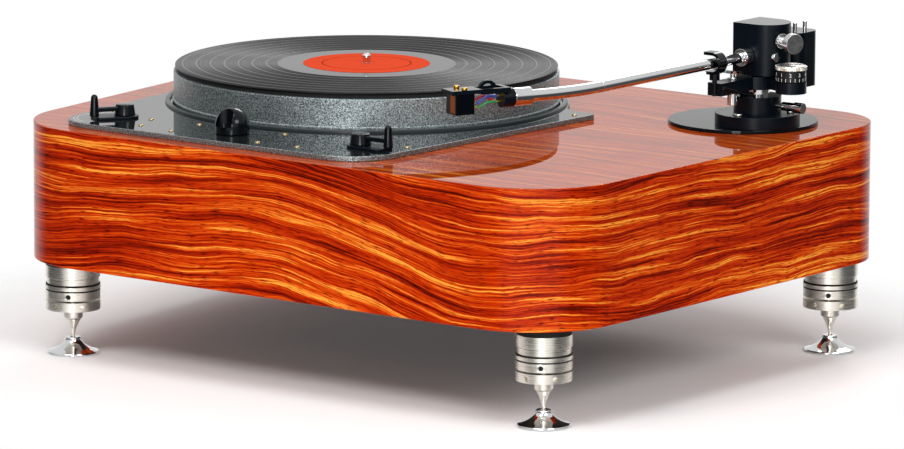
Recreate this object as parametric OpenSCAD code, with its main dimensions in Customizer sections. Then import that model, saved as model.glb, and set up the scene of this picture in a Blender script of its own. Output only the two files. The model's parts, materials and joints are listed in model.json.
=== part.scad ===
// Idler-drive turntable: wooden plinth, grey chassis, long curved arm and spiked feet
// Millimetres, +Z up, floor at z = 0, origin under the middle of the plinth

/* [Plinth] */
// Width of the plinth at its wider back end
plinth_w = 577; // [560:1:620]
// Depth of the plinth, front to back
plinth_d = 456; // [448:1:500]
// Height of the plinth
plinth_h = 108; // [98:1:140]
// Radius of the front right and back left corners
corner_r = 70; // [62:1:76]
// Radius of the front left corner
corner_fl_r = 77; // [66:1:84]
// Radius of the back right corner
corner_br_r = 58; // [52:1:76]
// Angle at which the left side runs outwards to the back
splay = 6.6; // [0:0.1:8]
// Thickness of the side walls
wall_t = 45; // [38:1:50]
// Thickness of the top board
top_t = 25; // [18:1:32]
// Thickness of the base board
base_t = 12; // [8:1:16]
// Distance from the plinth's outside to the edge of the base board
base_ledge = 38; // [37:1:41]
// Radius of the cable glands' bore
gland_bore_r = 3.6; // [2.5:0.1:4.5]
// Wall of the cable glands
gland_wall = 3; // [2:0.1:4]

/* [Feet] */
// Distance of the right feet from the right side
foot_inset_r = 36.3; // [34:0.1:42]
// Distance of the left feet from the left side
foot_inset_l = 43.4; // [40:0.1:48]
// Distance of the feet from the front and back
foot_inset_y = 39.6; // [36:0.1:46]
// Radius of the foot housing
foot_r = 21.4; // [18:0.1:23]
// Height of the shoe under the spike
shoe_h = 13.2; // [10:0.1:18]
// Radius of the shoe at the floor
shoe_r = 20.2; // [16:0.1:24]
// Radius of the shoe's neck
shoe_neck_r = 6; // [5:0.1:8]
// Length of the spike's cone above the shoe
spike_l = 14.6; // [10:0.1:20]
// Radius of the spike's flange
spike_r = 7.4; // [7:0.1:9]
// Height of the spike's flange
flange_h = 8; // [5:0.1:12]
// Height of the level ring
level_ring_h = 7.2; // [6:0.1:10]
// Gap above the level ring
level_gap = 1.5; // [1:0.1:3]
// Height of the ring that holds the set screws
lock_ring_h = 6.5; // [5:0.1:9]
// Height of the plain band
band_h = 5.2; // [3:0.1:8]
// Height of the upper collar
collar_h = 9.2; // [6:0.1:12]
// Height of the thin ring between the seals
thin_ring_h = 2.9; // [2:0.1:5]
// Height of a seal
seal_h = 1.25; // [0.8:0.05:2]
// Thickness of the gasket under the plinth
gasket_t = 4.8; // [2:0.1:6]
// Radius of the stud that holds a foot
stud_r = 4; // [3:0.1:5]
// Length of the stud inside the plinth
stud_l = 22; // [15:1:40]
// Radius of the spike's thread inside the housing
thread_r = 6; // [5:0.1:8]
// Radius of the tommy bar holes
tommy_r = 1.8; // [1:0.1:2.4]

/* [Chassis] */
// Thickness of the chassis plate
plate_t = 4.2; // [3:0.1:6]
// Radius of the plate round the platter
plate_r = 160; // [156:0.5:164]
// Distance from the plinth's front to the plate's front edge
plate_front = 16; // [12:0.5:22]
// Distance from the plinth's left side to the plate's left edge
plate_left = 43; // [38:0.5:48]
// Radius of the plate's front left corner
plate_fl_r = 32; // [20:1:40]
// Radius of the plate's front right corner
plate_fr_r = 40; // [20:1:45]
// Radius of the ear's tip
ear_r = 5.5; // [4:0.1:8]
// Radius of the hollow between the ear and the round part
ear_fillet_r = 28; // [20:1:36]
// Height of the raised rim round the platter
rim_h = 2; // [1:0.1:3]
// Width of the raised rim
rim_w = 4; // [2:0.1:5]
// Radius of the opening in the plinth's top board
opening_r = 142; // [138:1:148]

/* [Platter and record] */
// Radius of the platter
platter_r = 151.9; // [150:0.1:153]
// Height of the platter
platter_h = 24.6; // [22:0.1:32]
// Thickness of the platter's rim
rim_t = 8; // [6:0.1:12]
// Thickness of the platter's web
web_t = 6; // [4:0.1:8]
// Gap between the platter and the chassis plate
platter_gap = 0.8; // [0.5:0.1:2]
// Height of the bead at the foot of the platter
bead_h = 2.2; // [1:0.1:4]
// How far the bead stands out
bead_w = 0.9; // [0.4:0.1:1.2]
// Thickness of the mat
mat_t = 2.8; // [2:0.1:5]
// Radius of the mat
mat_r = 148.5; // [140:0.1:150]
// Radius of the record
record_r = 150.8; // [150:0.1:151]
// Thickness of the record
record_t = 1.9; // [1.2:0.1:2.5]
// Radius of the label
label_r = 50; // [48:0.1:51]
// Thickness of the label
label_t = 0.15; // [0.1:0.05:0.3]
// Radius of the centre pin
pin_r = 3.6; // [3.5:0.01:3.6]
// Radius of the centre pin's free end above the record
pin_end_r = 3.3; // [3:0.05:3.4]
// Height of the centre pin above the record
pin_h = 8; // [6:0.1:14]

/* [Drive] */
// Radius of the bearing shaft
shaft_r = 5; // [4:0.1:5.8]
// Radius of the shaft in the platter's hub
hub_shaft_r = 6; // [5:0.1:9]
// Radius of the platter's hub
hub_r = 18; // [14:0.5:24]
// Radius of the bearing housing
bearing_r = 14; // [11:0.1:16]
// Length of the bearing housing under the plate
bearing_l = 70; // [55:1:72]
// Radius of the thrust ball
ball_r = 3; // [2:0.1:3.8]
// Radius of the idler's tyre
tyre_r = 26; // [22:0.1:30]
// Width of the tyre's rubber
tyre_w = 4; // [2:0.1:6]
// Thickness of the idler
idler_t = 4; // [3:0.1:4.6]
// Radius of the idler's pin
idler_pin_r = 2; // [1.5:0.1:3]
// Radius of the pulley step in use, at 33 turns a minute
step_33_r = 3.25; // [3.1:0.01:4]
// Height of a pulley step
step_h = 5; // [4.8:0.1:5.4]
// Radius of the motor shaft
motor_shaft_r = 2.6; // [2:0.1:3]
// Radius of the motor case
motor_r = 40; // [32:0.5:44]
// Height of the motor case
motor_h = 56; // [40:1:58]
// Height of the rubber motor mounts
mount_h = 8; // [5:0.5:12]

/* [Controls] */
// Thickness of the base under a lever
lever_base_t = 2; // [1:0.1:3]
// Radius of a lever's hub at its foot
lever_hub_r = 8.3; // [6:0.1:10]
// Height of a lever's hub
lever_hub_h = 8.5; // [7:0.1:14]
// Length of the speed lever, hub to finger
speed_lever_l = 25; // [22:0.5:30]
// Length of the start lever, hub to finger
start_lever_l = 26.4; // [20:0.1:30]
// Height of a lever's finger
finger_h = 14.5; // [10:0.1:20]
// Radius of a lever's finger at its foot
finger_r = 3.8; // [3:0.1:4.4]
// Radius of the fine speed knob
knob_r = 13.2; // [10:0.1:15]
// Height of the knob's straight foot
knob_foot_h = 6.5; // [4:0.1:9]
// Thickness of the knob's grip
knob_grip_t = 6.6; // [4:0.1:9]
// Radius of the control shafts
control_shaft_r = 3; // [2:0.1:4]

/* [Arm base] */
// Radius of the disc under the arm
disc_r = 58.5; // [50:0.5:64]
// Thickness of the disc
disc_t = 3; // [2:0.1:8]
// Radius of the arm's flange
arm_flange_r = 33; // [30:0.5:36]
// Height of the arm's flange
arm_flange_h = 9.5; // [5:0.1:12]
// Radius of the pillar
pillar_r = 18.5; // [16:0.1:20]
// Height of the pillar above the flange
pillar_h = 13.5; // [11:0.1:15]
// Radius of the arm post
post_r = 9.3; // [8:0.1:11]
// Gap between the pillar and the carrier
post_show = 6; // [4:0.1:10]
// Thickness of the carrier
carrier_t = 10; // [7:0.1:12]
// Radius of the force dial
dial_r = 12; // [9:0.1:12.5]
// Height of the turning part of the force dial
dial_h = 12.6; // [10:0.1:16]
// Length of the thumbscrew's barrel
thumb_l = 11.4; // [8:0.1:14]
// Radius of the thumbscrew's barrel
thumb_r = 3.5; // [3:0.1:5]
// Radius of the lift cylinder
lift_r = 4; // [3:0.1:5]
// Length of the cue lever
cue_l = 36; // [26:0.5:38]

/* [Arm] */
// Height of the arm tube's axis above the plinth
arm_h = 57.5; // [56.6:0.1:66]
// Radius of the tube at the block
tube_r1 = 3.9; // [3:0.1:4.2]
// Radius of the tube at the bend
tube_r2 = 4.6; // [3.6:0.1:5]
// Wall of the tube
tube_wall = 1; // [0.6:0.1:1.5]
// Distance from the arm's axis to the start of the bend
tube_l = 207.4; // [190:0.1:210]
// Radius of the bend
bend_r = 160; // [120:1:180]
// Angle of the bend
bend_a = 25; // [20:0.5:27]
// Height of the arm block
block_h = 40; // [36:0.5:50]
// Radius of the block's round end
block_r = 18; // [16:0.1:18.5]
// Gap between the block and the carrier
block_gap = 1; // [0.5:0.1:2]
// Radius of the arm's upright shaft
yaw_shaft_r = 5; // [4:0.1:6]
// Radius of the level pivot pin
pivot_r = 2; // [1.5:0.1:2.5]
// Radius of the chrome collar
arm_collar_r = 7; // [6.6:0.1:8]
// Length of the chrome collar
arm_collar_l = 9; // [6:0.1:12]
// Width of the counterweight
weight_w = 34; // [30:0.5:34]
// Length of the counterweight along the arm
weight_l = 30; // [24:0.5:34]
// Height of the counterweight
weight_h = 43; // [36:0.5:43.5]
// Radius of the counterweight's corners
weight_round = 9; // [7:0.1:11]
// Radius of the rod that carries the counterweight
rod_r = 4; // [3:0.1:4.5]
// Radius of the side knob
side_knob_r = 7.9; // [6:0.1:9]
// Inside radius of the arm rest's hook
hook_r = 6.3; // [6.2:0.1:7]
// Wall of the arm rest's hook
hook_wall = 2.4; // [1.5:0.1:3]

/* [Head] */
// Radius of the collet ring
collet_r = 6.8; // [6:0.1:8]
// Length of the collet ring
collet_l = 15; // [12:0.1:18]
// Radius of the headshell's collar
head_collar_r = 7.3; // [6.5:0.1:8]
// Length of the headshell's collar
head_collar_l = 9.5; // [7:0.1:12]
// Length of the open frame between collar and cartridge plate
frame_l = 20; // [16:0.1:24]
// Length of the cartridge plate
head_plate_l = 25; // [20:0.1:28]
// Width of the headshell
head_w = 18; // [16.5:0.1:20]
// Height of the headshell's top above the tube axis
head_top = 9; // [8.6:0.1:11]
// Thickness of the cartridge plate
head_plate_t = 3; // [2:0.1:3.4]
// Width of the cartridge
cartridge_w = 15.5; // [14.5:0.1:16.4]
// Length of the cartridge
cartridge_l = 15.5; // [14:0.1:17]
// Height of the cartridge
cartridge_h = 15.5; // [14:0.1:16.5]
// Spacing of the cartridge screws
screw_gap = 12.7; // [12:0.1:13]
// Length of the stylus under the cartridge
stylus_l = 2; // [1:0.1:3]
// Radius of a signal wire
wire_r = 0.95; // [0.5:0.05:1]

/* [Hidden] */
$fn = 96;
// Radial clearance of pressed fits and of running fits
press = 0.02;
run = 0.05;
// How far a cut runs past the face that it opens
cut = 1;
// How far a round runs past the straight edge that it meets
lap = 0.04;
// Glue line between the frame and the top board
glue = 0.05;
// Gap between the tyre and what it rolls on
drive_gap = 0.15;

// Levels
foot_stack = shoe_h + spike_l + flange_h + level_ring_h + level_gap + lock_ring_h + thin_ring_h
    + 2 * seal_h + band_h + collar_h;
plinth_z = foot_stack + gasket_t;
top = plinth_z + plinth_h;
plate_top = top + plate_t;
platter_z = plate_top + platter_gap;
platter_top = platter_z + platter_h;
record_top = platter_top + mat_t + record_t;
axis_z = top + arm_h;
pillar_z = top + disc_t + arm_flange_h;
carrier_z = pillar_z + pillar_h + post_show;
carrier_top = carrier_z + carrier_t;
block_z = carrier_top + block_gap;

// Plinth corners, as centre x, centre y and radius
corner_y = plinth_d / 2 - corner_r;
right_x = plinth_w / 2 - corner_r;
function left_x(y) = -right_x + (corner_y - y) * tan(splay);
fl_y = corner_fl_r - plinth_d / 2;
function plan_corners(inset) = [for (c = [
    [left_x(fl_y) + (corner_fl_r - corner_r) / cos(splay), fl_y, corner_fl_r],
    [right_x, -corner_y, corner_r],
    [plinth_w / 2 - corner_br_r, plinth_d / 2 - corner_br_r, corner_br_r],
    [left_x(corner_y), corner_y, corner_r]]) [c[0], c[1], c[2] - inset]];

// Feet
foot_y = plinth_d / 2 - foot_inset_y;
foot_right = plinth_w / 2 - foot_inset_r;
function foot_left(y) = left_x(y) - (corner_r - foot_inset_l) / cos(splay);
foot_fl = [foot_left(-foot_y), -foot_y];
foot_fr = [foot_right, -foot_y];
foot_bl = [foot_left(foot_y), foot_y];
foot_br = [foot_right, foot_y];
feet = [foot_fl, foot_fr, foot_bl, foot_br];
level_z = shoe_h + spike_l + flange_h;
housing_z = level_z + level_ring_h + level_gap;
seal_z = [housing_z + lock_ring_h, housing_z + lock_ring_h + seal_h + thin_ring_h];
band_z = seal_z[1] + seal_h;
seal_depth = 1.6;
thread_l = 16;

// Chassis
spindle = [-72.4, 13];
front_y = -plinth_d / 2 + plate_front;
ear_out = 13.9;
ear_back = 56.5;
ear = spindle + [plate_r + ear_out, ear_back];
ear_top = ear[1] + ear_r;
plate_right = 98.5;
function plate_left_x(y, r) = left_x(y) + (plate_left + r - corner_r) / cos(splay);
plate_corners = [
    [plate_left_x(front_y + plate_fl_r, plate_fl_r), front_y + plate_fl_r, plate_fl_r],
    [plate_right - plate_fr_r, front_y + plate_fr_r, plate_fr_r],
    [ear[0], ear[1], ear_r],
    [plate_left_x(spindle[1], plate_fl_r), spindle[1], plate_fl_r]];
fillet_root = 12;
fillet_dy = ear_top + ear_fillet_r - spindle[1];
fillet_c = spindle + [sqrt(pow(plate_r + ear_fillet_r, 2) - fillet_dy * fillet_dy), fillet_dy];
fillet_meet = spindle + (fillet_c - spindle) * plate_r / (plate_r + ear_fillet_r);
speed_hub = [-167.5, -170];
start_hub = [61.1, -165.4];
knob_hub = [-54.5, -177];
speed_angle = 240;
start_angle = 0;
control_z = plate_top + lever_base_t + 0.3;
control_shaft_l = 14;
lever_base_r = 4;
lever_base_w = 8;
lever_bar_z = 3.4;
opening_corner = 12;
opening_front = [[-176, -186], [84, -186], [84, -100], [-176, -100]];
chassis_screw_r = 2.8;
chassis_shank_r = 1.5;
chassis_head_h = 1.2;
ring_screw_gap = 16;
ear_screw = [3.5, 11.5];
screw_spots = [[-193, 60], [-98, 14], [-13, 14], [24, 16], [90, 67], [-133, 20], [-145, 47]];
chassis_screw_at = concat(
    [for (s = screw_spots) [s[0], front_y + s[1]]],
    [for (a = [-99, -72.8]) spindle + (plate_r + ring_screw_gap) * [cos(a), sin(a)]],
    [ear - ear_screw]);

// Drive
rim_in = platter_r - rim_t;
pin_foot = label_t + 0.3;
web_z = platter_top - web_t;
hub_z = plate_top + 5;
bearing_top = plate_top + 3.6;
bearing_floor = top - bearing_l + 6;
bearing_lip = 14;
bearing_flange_r = bearing_r + bearing_lip;
ball_z = bearing_floor + ball_r;
shaft_end = bearing_floor + 2 * ball_r + run;
pulley_z = plate_top + 1.8;
step_45_r = step_33_r * 1.35;
step_78_r = step_33_r * 2.34;
idler_d = rim_in - tyre_r - drive_gap;
idler_at = spindle + idler_d * [cos(100), sin(100)];
pulley_at = idler_at + (tyre_r + step_33_r + drive_gap) * [cos(260), sin(260)];
idler_z = pulley_z + 2 * step_h + (step_h - idler_t) / 2;
idler_arm_t = 2.5;
idler_hub_r = 6;
idler_pivot_off = [32, 100];
idler_pivot = spindle + idler_pivot_off;
bracket_r = motor_r + 6;
bracket_gap = 1;
bracket_t = 4;
bracket_z = top - mount_h - bracket_t;
mount_r = 5;

// Arm base
arm_at = [228, 120];
disc_off = [-23, 13.5];
disc_at = arm_at + disc_off;
post_hole_r = post_r + 2.5;
post_drop = 22;
post_under = 3;
post_z = top - post_drop;
thumb_z = pillar_z + pillar_h / 2;
thumb_stem_r = 1.8;
thumb_stem = 5.3;
thumb_end_l = 7.9;
slot_r = 2.2;
slot_at = (pillar_r + arm_flange_r) / 2;
dial_off = [40.5, -13.5];
dial_at = arm_at + dial_off;
dial_z = carrier_top + 0.3;
dial_pin_r = 3;
wing_w = 8;
rest_reach = 58;
rest_at = arm_at - [0, rest_reach];
rest_block = 11;
rest_stem_r = 4;
rest_neck_r = 1.9;
hook_w = 9;
lift_reach = 34;
lift_at = arm_at - [0, lift_reach];
lift_pin_r = 2;
lift_drop = 10;
lift_bar_w = 4;
lift_bar_t = 2.4;
lift_bar_drop = 11.1;
lift_bar_z = axis_z - lift_bar_drop;
cue_off = [9, -24];
cue_at = arm_at + cue_off;
cue_z = carrier_z - 2.5;
cue_rise = 15;
cue_r = 1.6;
cue_pin_r = 1.4;
carrier_r = 17;
carrier_arm_w = 13;

// Arm
block_left = -14;
block_front = -14;
block_round = [6, block_front + block_r];
block_back = block_front + 2 * block_r;
block_bore_r = tube_r1 + 2.5;
pivot_y = -6;
pivot_head_r = 3.7;
pivot_half_l = 11;
pivot_sink = 1.2;
pivot_out = 13;
pivot_cut = 10;
pivot_end = [block_left + pivot_sink, block_round[0] + pivot_out];
weight_front = block_back + 2;
weight_left = -13;
weight_drop = 28;
weight_z = axis_z - weight_drop;
weight_pin_r = 1.7;
weight_pin_h = 7;
weight_screw_r = 1.8;
weight_screw_l = 4.5;
weight_screw_down = 8;
rod_l = weight_front + weight_l + 6;
side_knob_a = -22;
side_knob_h = 27.5;
side_knob_z = block_z + side_knob_h;
side_knob_at = block_round + block_r * [cos(side_knob_a), sin(side_knob_a)];
side_stem_r = 3.2;
side_stem_l = 11;
side_pin_l = 7;
side_gap = 1.2;
side_collar_r = 6;
side_collar_t = 2.4;
side_knob_t = 6;
side_pin_r = 2;
bend_at = arm_at - [bend_r, tube_l];
head_at = bend_at + bend_r * [cos(bend_a), -sin(bend_a)];
seam = 0.05;
seam_a = 0.1;
nose_r = tube_r2 - 0.8;

// Head, in its own frame: forward is -Y from the end of the bend
head_y = -collet_l - 0.5;
head_front_y = head_y - head_collar_l;
plate_y = head_front_y - frame_l;
rail_w = 3;
rail_h = 4;
lift_loop_r = 8;
lift_loop_back = 2.5;
cartridge_top = head_top - head_plate_t;
cartridge_y = plate_y - 6;
screw_y = cartridge_y - cartridge_l / 2;
contact_r = 0.7;
contact_l = 4;
contact_head = [for (i = [0 : 3]) [(i < 2 ? -2 : 2), (i % 2 == 0 ? 2 : -2)]];
contact_cartridge = [for (i = [0 : 3]) [2.4 * (i - 1.5), 2.6 - 2.6 * i]];
wire_rings = 12;
wire_sides = 8;

// Outline round circles given as x, y, radius, taken anticlockwise
function tangent(a, b) =
    let (d = [b[0] - a[0], b[1] - a[1]], u = d / norm(d), s = (a[2] - b[2]) / norm(d))
    [u[1], -u[0]] * sqrt(1 - s * s) + u * s;
module round_plan(c) {
    polygon([for (i = [0 : len(c) - 1])
        let (a = c[i], b = c[(i + 1) % len(c)], t = tangent(a, b))
        each [[a[0], a[1]] + (a[2] - lap) * t, [b[0], b[1]] + (b[2] - lap) * t]]);
    for (k = c) translate([k[0], k[1]]) circle(k[2]);
}

// Places
module at(p, z = 0) translate([p[0], p[1], z]) children();
module at_feet() for (p = feet) at(p) children();
module along_x() rotate([0, 90, 0]) children();
module along_y() rotate([-90, 0, 0]) children();
module at_arm(z = 0) at(arm_at, z) children();
module at_head() translate([head_at[0], head_at[1], axis_z]) rotate([0, 0, -bend_a]) children();
module ring(r_out, r_in, h) difference() {
    cylinder(r = r_out, h = h);
    translate([0, 0, -cut]) cylinder(r = r_in, h = h + 2 * cut);
}

// Plinth and base
module chassis_opening() {
    translate(spindle) circle(opening_r);
    translate(pulley_at) circle(bracket_r + bracket_gap);
    round_plan([for (p = opening_front) [p[0], p[1], opening_corner]]);
}
gland_r = gland_bore_r + gland_wall;
gland_x = [60, 120];
gland_up = 34;
gland_z = plinth_z + gland_up;
gland_flange = 4;
module plinth_frame() difference() {
    translate([0, 0, plinth_z]) linear_extrude(plinth_h) round_plan(plan_corners(0));
    translate([0, 0, plinth_z - cut]) linear_extrude(plinth_h + 2 * cut) round_plan(plan_corners(wall_t));
    translate([0, 0, plinth_z - cut]) linear_extrude(base_t + cut) round_plan(plan_corners(base_ledge));
    translate([0, 0, top - top_t - cut]) linear_extrude(top_t + 2 * cut) chassis_opening();
    at_feet() translate([0, 0, plinth_z - cut]) cylinder(r = stud_r + press, h = stud_l + cut);
    for (x = gland_x) translate([x, plinth_d / 2 - wall_t - cut, gland_z])
        along_y() cylinder(r = gland_r + press, h = wall_t + 2 * cut);
    for (x = gland_x) translate([x, plinth_d / 2 - gland_flange, gland_z])
        along_y() cylinder(r = gland_r + 3 + press, h = gland_flange + cut);
    at_arm(post_z - post_under) cylinder(r = post_hole_r, h = top - post_z + post_under + cut);
}
module top_board() difference() {
    translate([0, 0, top - top_t]) linear_extrude(top_t) round_plan(plan_corners(wall_t + glue));
    translate([0, 0, top - top_t - cut]) linear_extrude(top_t + 2 * cut) chassis_opening();
    at_arm(top - top_t - cut) cylinder(r = post_hole_r, h = top_t + 2 * cut);
}
module plinth() color("#8c2f12") {
    plinth_frame();
    top_board();
}
module base_board() color("#2b2b2b") translate([0, 0, plinth_z])
    linear_extrude(base_t) round_plan(plan_corners(base_ledge + 0.1));
module cable_glands() color("#1c1c1c") for (x = gland_x) translate([x, 0, gland_z]) difference() {
    union() {
        translate([0, plinth_d / 2 - wall_t, 0]) along_y() cylinder(r = gland_r, h = wall_t);
        translate([0, plinth_d / 2 - gland_flange, 0]) along_y() cylinder(r = gland_r + 3, h = gland_flange);
    }
    translate([0, plinth_d / 2 - wall_t - cut, 0])
        along_y() cylinder(r = gland_bore_r, h = wall_t + 2 * cut);
}

// Feet
module foot_seals() color("#151515") at_feet() {
    translate([0, 0, foot_stack]) ring(foot_r - 0.6, stud_r + press, gasket_t);
    for (z = seal_z) translate([0, 0, z]) ring(foot_r - 0.2, foot_r - seal_depth + press, seal_h);
}
module foot_housings() color("#c9c6c0") at_feet() difference() {
    union() {
        translate([0, 0, housing_z]) cylinder(r = foot_r - seal_depth, h = foot_stack - housing_z);
        translate([0, 0, housing_z]) cylinder(r = foot_r, h = lock_ring_h);
        translate([0, 0, seal_z[0] + seal_h]) cylinder(r = foot_r + 0.3, h = thin_ring_h);
        translate([0, 0, band_z]) cylinder(r = foot_r - 0.9, h = band_h - 0.6);
        translate([0, 0, band_z + band_h]) cylinder(r = foot_r, h = collar_h);
        translate([0, 0, foot_stack]) cylinder(r = stud_r, h = gasket_t + stud_l);
    }
    translate([0, 0, housing_z - cut]) cylinder(r = thread_r + run, h = thread_l + level_gap + 2 * cut);
    for (a = [0 : 120 : 240]) rotate([0, 0, a - 60]) translate([foot_r - 4, 0, housing_z + lock_ring_h / 2])
        along_x() cylinder(r = 2, h = 4 + cut);
}
module spike_profile(n = 8) polygon(concat(
    [[0, shoe_h - 2.2], [0.6, shoe_h - 2.2]],
    [for (i = [0 : n]) [1.2 + (spike_r - 2.4) * pow(i / n, 1.7), shoe_h + spike_l * i / n]],
    [[spike_r, shoe_h + spike_l + 0.8], [spike_r, level_z], [0, level_z]]));
module foot_spike(p) color("#cfccc6") at(p) difference() {
    union() {
        rotate_extrude() spike_profile();
        translate([0, 0, level_z]) cylinder(r = foot_r, h = level_ring_h);
        translate([0, 0, level_z + level_ring_h]) cylinder(r = thread_r, h = thread_l);
    }
    for (a = [0 : 60 : 300]) rotate([0, 0, a - 30]) translate([foot_r - 5, 0, level_z + level_ring_h / 2])
        along_x() cylinder(r = tommy_r, h = 5 + cut);
}
module shoe_profile(n = 7, lip = 2.4) polygon(concat(
    [[0, 0], [shoe_r - 1.4, 0], [shoe_r, 1.2], [shoe_r - 0.4, lip]],
    [for (i = [1 : n]) [shoe_neck_r + (shoe_r - 2 - shoe_neck_r) * pow(1 - i / n, 2.2),
        lip + (shoe_h - 0.6 - lip) * i / n]],
    [[shoe_neck_r - 0.7, shoe_h], [2.6, shoe_h], [1, shoe_h - 2.6], [0, shoe_h - 2.6]]));
module foot_shoe(p) color("#e2e2e2") at(p) rotate_extrude() shoe_profile();
module foot_spike_fl() foot_spike(foot_fl);
module foot_spike_fr() foot_spike(foot_fr);
module foot_spike_bl() foot_spike(foot_bl);
module foot_spike_br() foot_spike(foot_br);
module foot_shoe_fl() foot_shoe(foot_fl);
module foot_shoe_fr() foot_shoe(foot_fr);
module foot_shoe_bl() foot_shoe(foot_bl);
module foot_shoe_br() foot_shoe(foot_br);

// Chassis
module plate_outline() {
    translate(spindle) circle(plate_r);
    round_plan(plate_corners);
    difference() {
        polygon([fillet_meet, [fillet_c[0], ear_top - lap], [ear[0], ear_top - lap], [ear[0], ear[1]],
            [fillet_meet[0] - fillet_root, ear[1]]]);
        translate(fillet_c) circle(ear_fillet_r + 2 * lap);
    }
}
module chassis_plate() color("#74787a") difference() {
    union() {
        translate([0, 0, top]) linear_extrude(plate_t) plate_outline();
        at(spindle, plate_top) ring(plate_r - 1.5, plate_r - 1.5 - rim_w, rim_h);
    }
    at(spindle, top - cut) cylinder(r = bearing_r + press, h = plate_t + 2 * cut);
    at(pulley_at, top - cut) cylinder(r = step_78_r + 2, h = plate_t + 2 * cut);
    for (p = [speed_hub, start_hub, knob_hub])
        at(p, top - cut) cylinder(r = control_shaft_r + run, h = plate_t + 2 * cut);
    for (p = chassis_screw_at) at(p, top - cut) cylinder(r = chassis_shank_r + press, h = plate_t + 2 * cut);
}
module chassis_screws() color("#c79a4a") for (p = chassis_screw_at) {
    at(p, plate_top) cylinder(r1 = chassis_screw_r, r2 = chassis_screw_r - 0.7, h = chassis_head_h);
    at(p, top) cylinder(r = chassis_shank_r, h = plate_t);
}

// Platter, record and bearing
module main_bearing() color("#9a9a96") at(spindle) difference() {
    union() {
        translate([0, 0, top - bearing_l]) cylinder(r = bearing_r, h = bearing_l + bearing_top - top);
        translate([0, 0, top - 5]) cylinder(r = bearing_flange_r, h = 5);
    }
    translate([0, 0, bearing_floor]) cylinder(r = shaft_r + run, h = bearing_top - bearing_floor + cut);
}
module thrust_ball() color("#d8d8d8") at(spindle, ball_z) sphere(ball_r);
module spindle_shaft() color("#d5d5d2") at(spindle) {
    translate([0, 0, shaft_end]) cylinder(r = shaft_r, h = hub_z - shaft_end);
    translate([0, 0, hub_z]) cylinder(r = hub_shaft_r, h = platter_top - hub_z);
    translate([0, 0, platter_top]) cylinder(r = pin_r, h = record_top + pin_foot - platter_top);
    translate([0, 0, record_top + pin_foot]) cylinder(r = pin_end_r, h = pin_h - pin_foot - pin_end_r / 2);
    translate([0, 0, record_top + pin_h - pin_end_r / 2])
        cylinder(r1 = pin_end_r, r2 = pin_end_r / 2, h = pin_end_r / 2);
}
module platter() color("#808486") at(spindle) {
    translate([0, 0, platter_z]) ring(platter_r, rim_in, platter_h - web_t);
    translate([0, 0, platter_z]) ring(platter_r + bead_w, platter_r - 1, bead_h);
    translate([0, 0, web_z]) ring(platter_r, hub_shaft_r + press, web_t);
    translate([0, 0, hub_z]) ring(hub_r, hub_shaft_r + press, web_z - hub_z);
}
module platter_mat() color("#141414") at(spindle, platter_top) ring(mat_r, pin_r + 0.4, mat_t);
module record() color("#1b1b1d") at(spindle, platter_top + mat_t) ring(record_r, pin_r + run, record_t);
module record_label() color("#d8532f") at(spindle, record_top) ring(label_r, pin_r + 0.4, label_t);

// Motor and idler
module motor_mounts() color("#202020") at(pulley_at, bracket_z + bracket_t)
    for (a = [45 : 90 : 315]) rotate([0, 0, a]) translate([bracket_r - mount_r - 2, 0, 0])
        cylinder(r = mount_r, h = mount_h);
module motor_bracket() color("#8a8d8c") at(pulley_at, bracket_z)
    ring(bracket_r, motor_shaft_r + 2, bracket_t);
module motor_case() color("#5d6163") at(pulley_at, bracket_z - motor_h) difference() {
    cylinder(r = motor_r, h = motor_h);
    translate([0, 0, motor_h / 2]) cylinder(r = motor_shaft_r + run, h = motor_h / 2 + cut);
}
module motor_pulley() color("#c9a24d") at(pulley_at) {
    translate([0, 0, bracket_z - motor_h / 3])
        cylinder(r = motor_shaft_r, h = pulley_z - bracket_z + motor_h / 3 + step_h);
    for (s = [[0, step_78_r], [1, step_45_r], [2, step_33_r]])
        translate([0, 0, pulley_z + s[0] * step_h]) cylinder(r = s[1], h = step_h);
}
module idler_arm() color("#a0a09a") {
    translate([0, 0, plate_top]) linear_extrude(idler_arm_t) round_plan([
        [idler_at[0], idler_at[1], idler_hub_r + 1], [idler_pivot[0], idler_pivot[1], idler_hub_r + 2]]);
    at(idler_at, plate_top) cylinder(r = idler_pin_r, h = idler_z + idler_t - plate_top);
    at(idler_pivot, plate_top) cylinder(r = idler_hub_r, h = idler_arm_t + 3);
}
module idler_wheel() color("#b9b6ae") at(idler_at) {
    translate([0, 0, idler_z]) ring(tyre_r - tyre_w, idler_pin_r + run, idler_t);
    translate([0, 0, plate_top + idler_arm_t + 0.2])
        ring(idler_hub_r, idler_pin_r + run, idler_z - plate_top - idler_arm_t - 0.2);
}
module idler_tyre() color("#1a1a1a") at(idler_at, idler_z) ring(tyre_r, tyre_r - tyre_w + press, idler_t);

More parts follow.
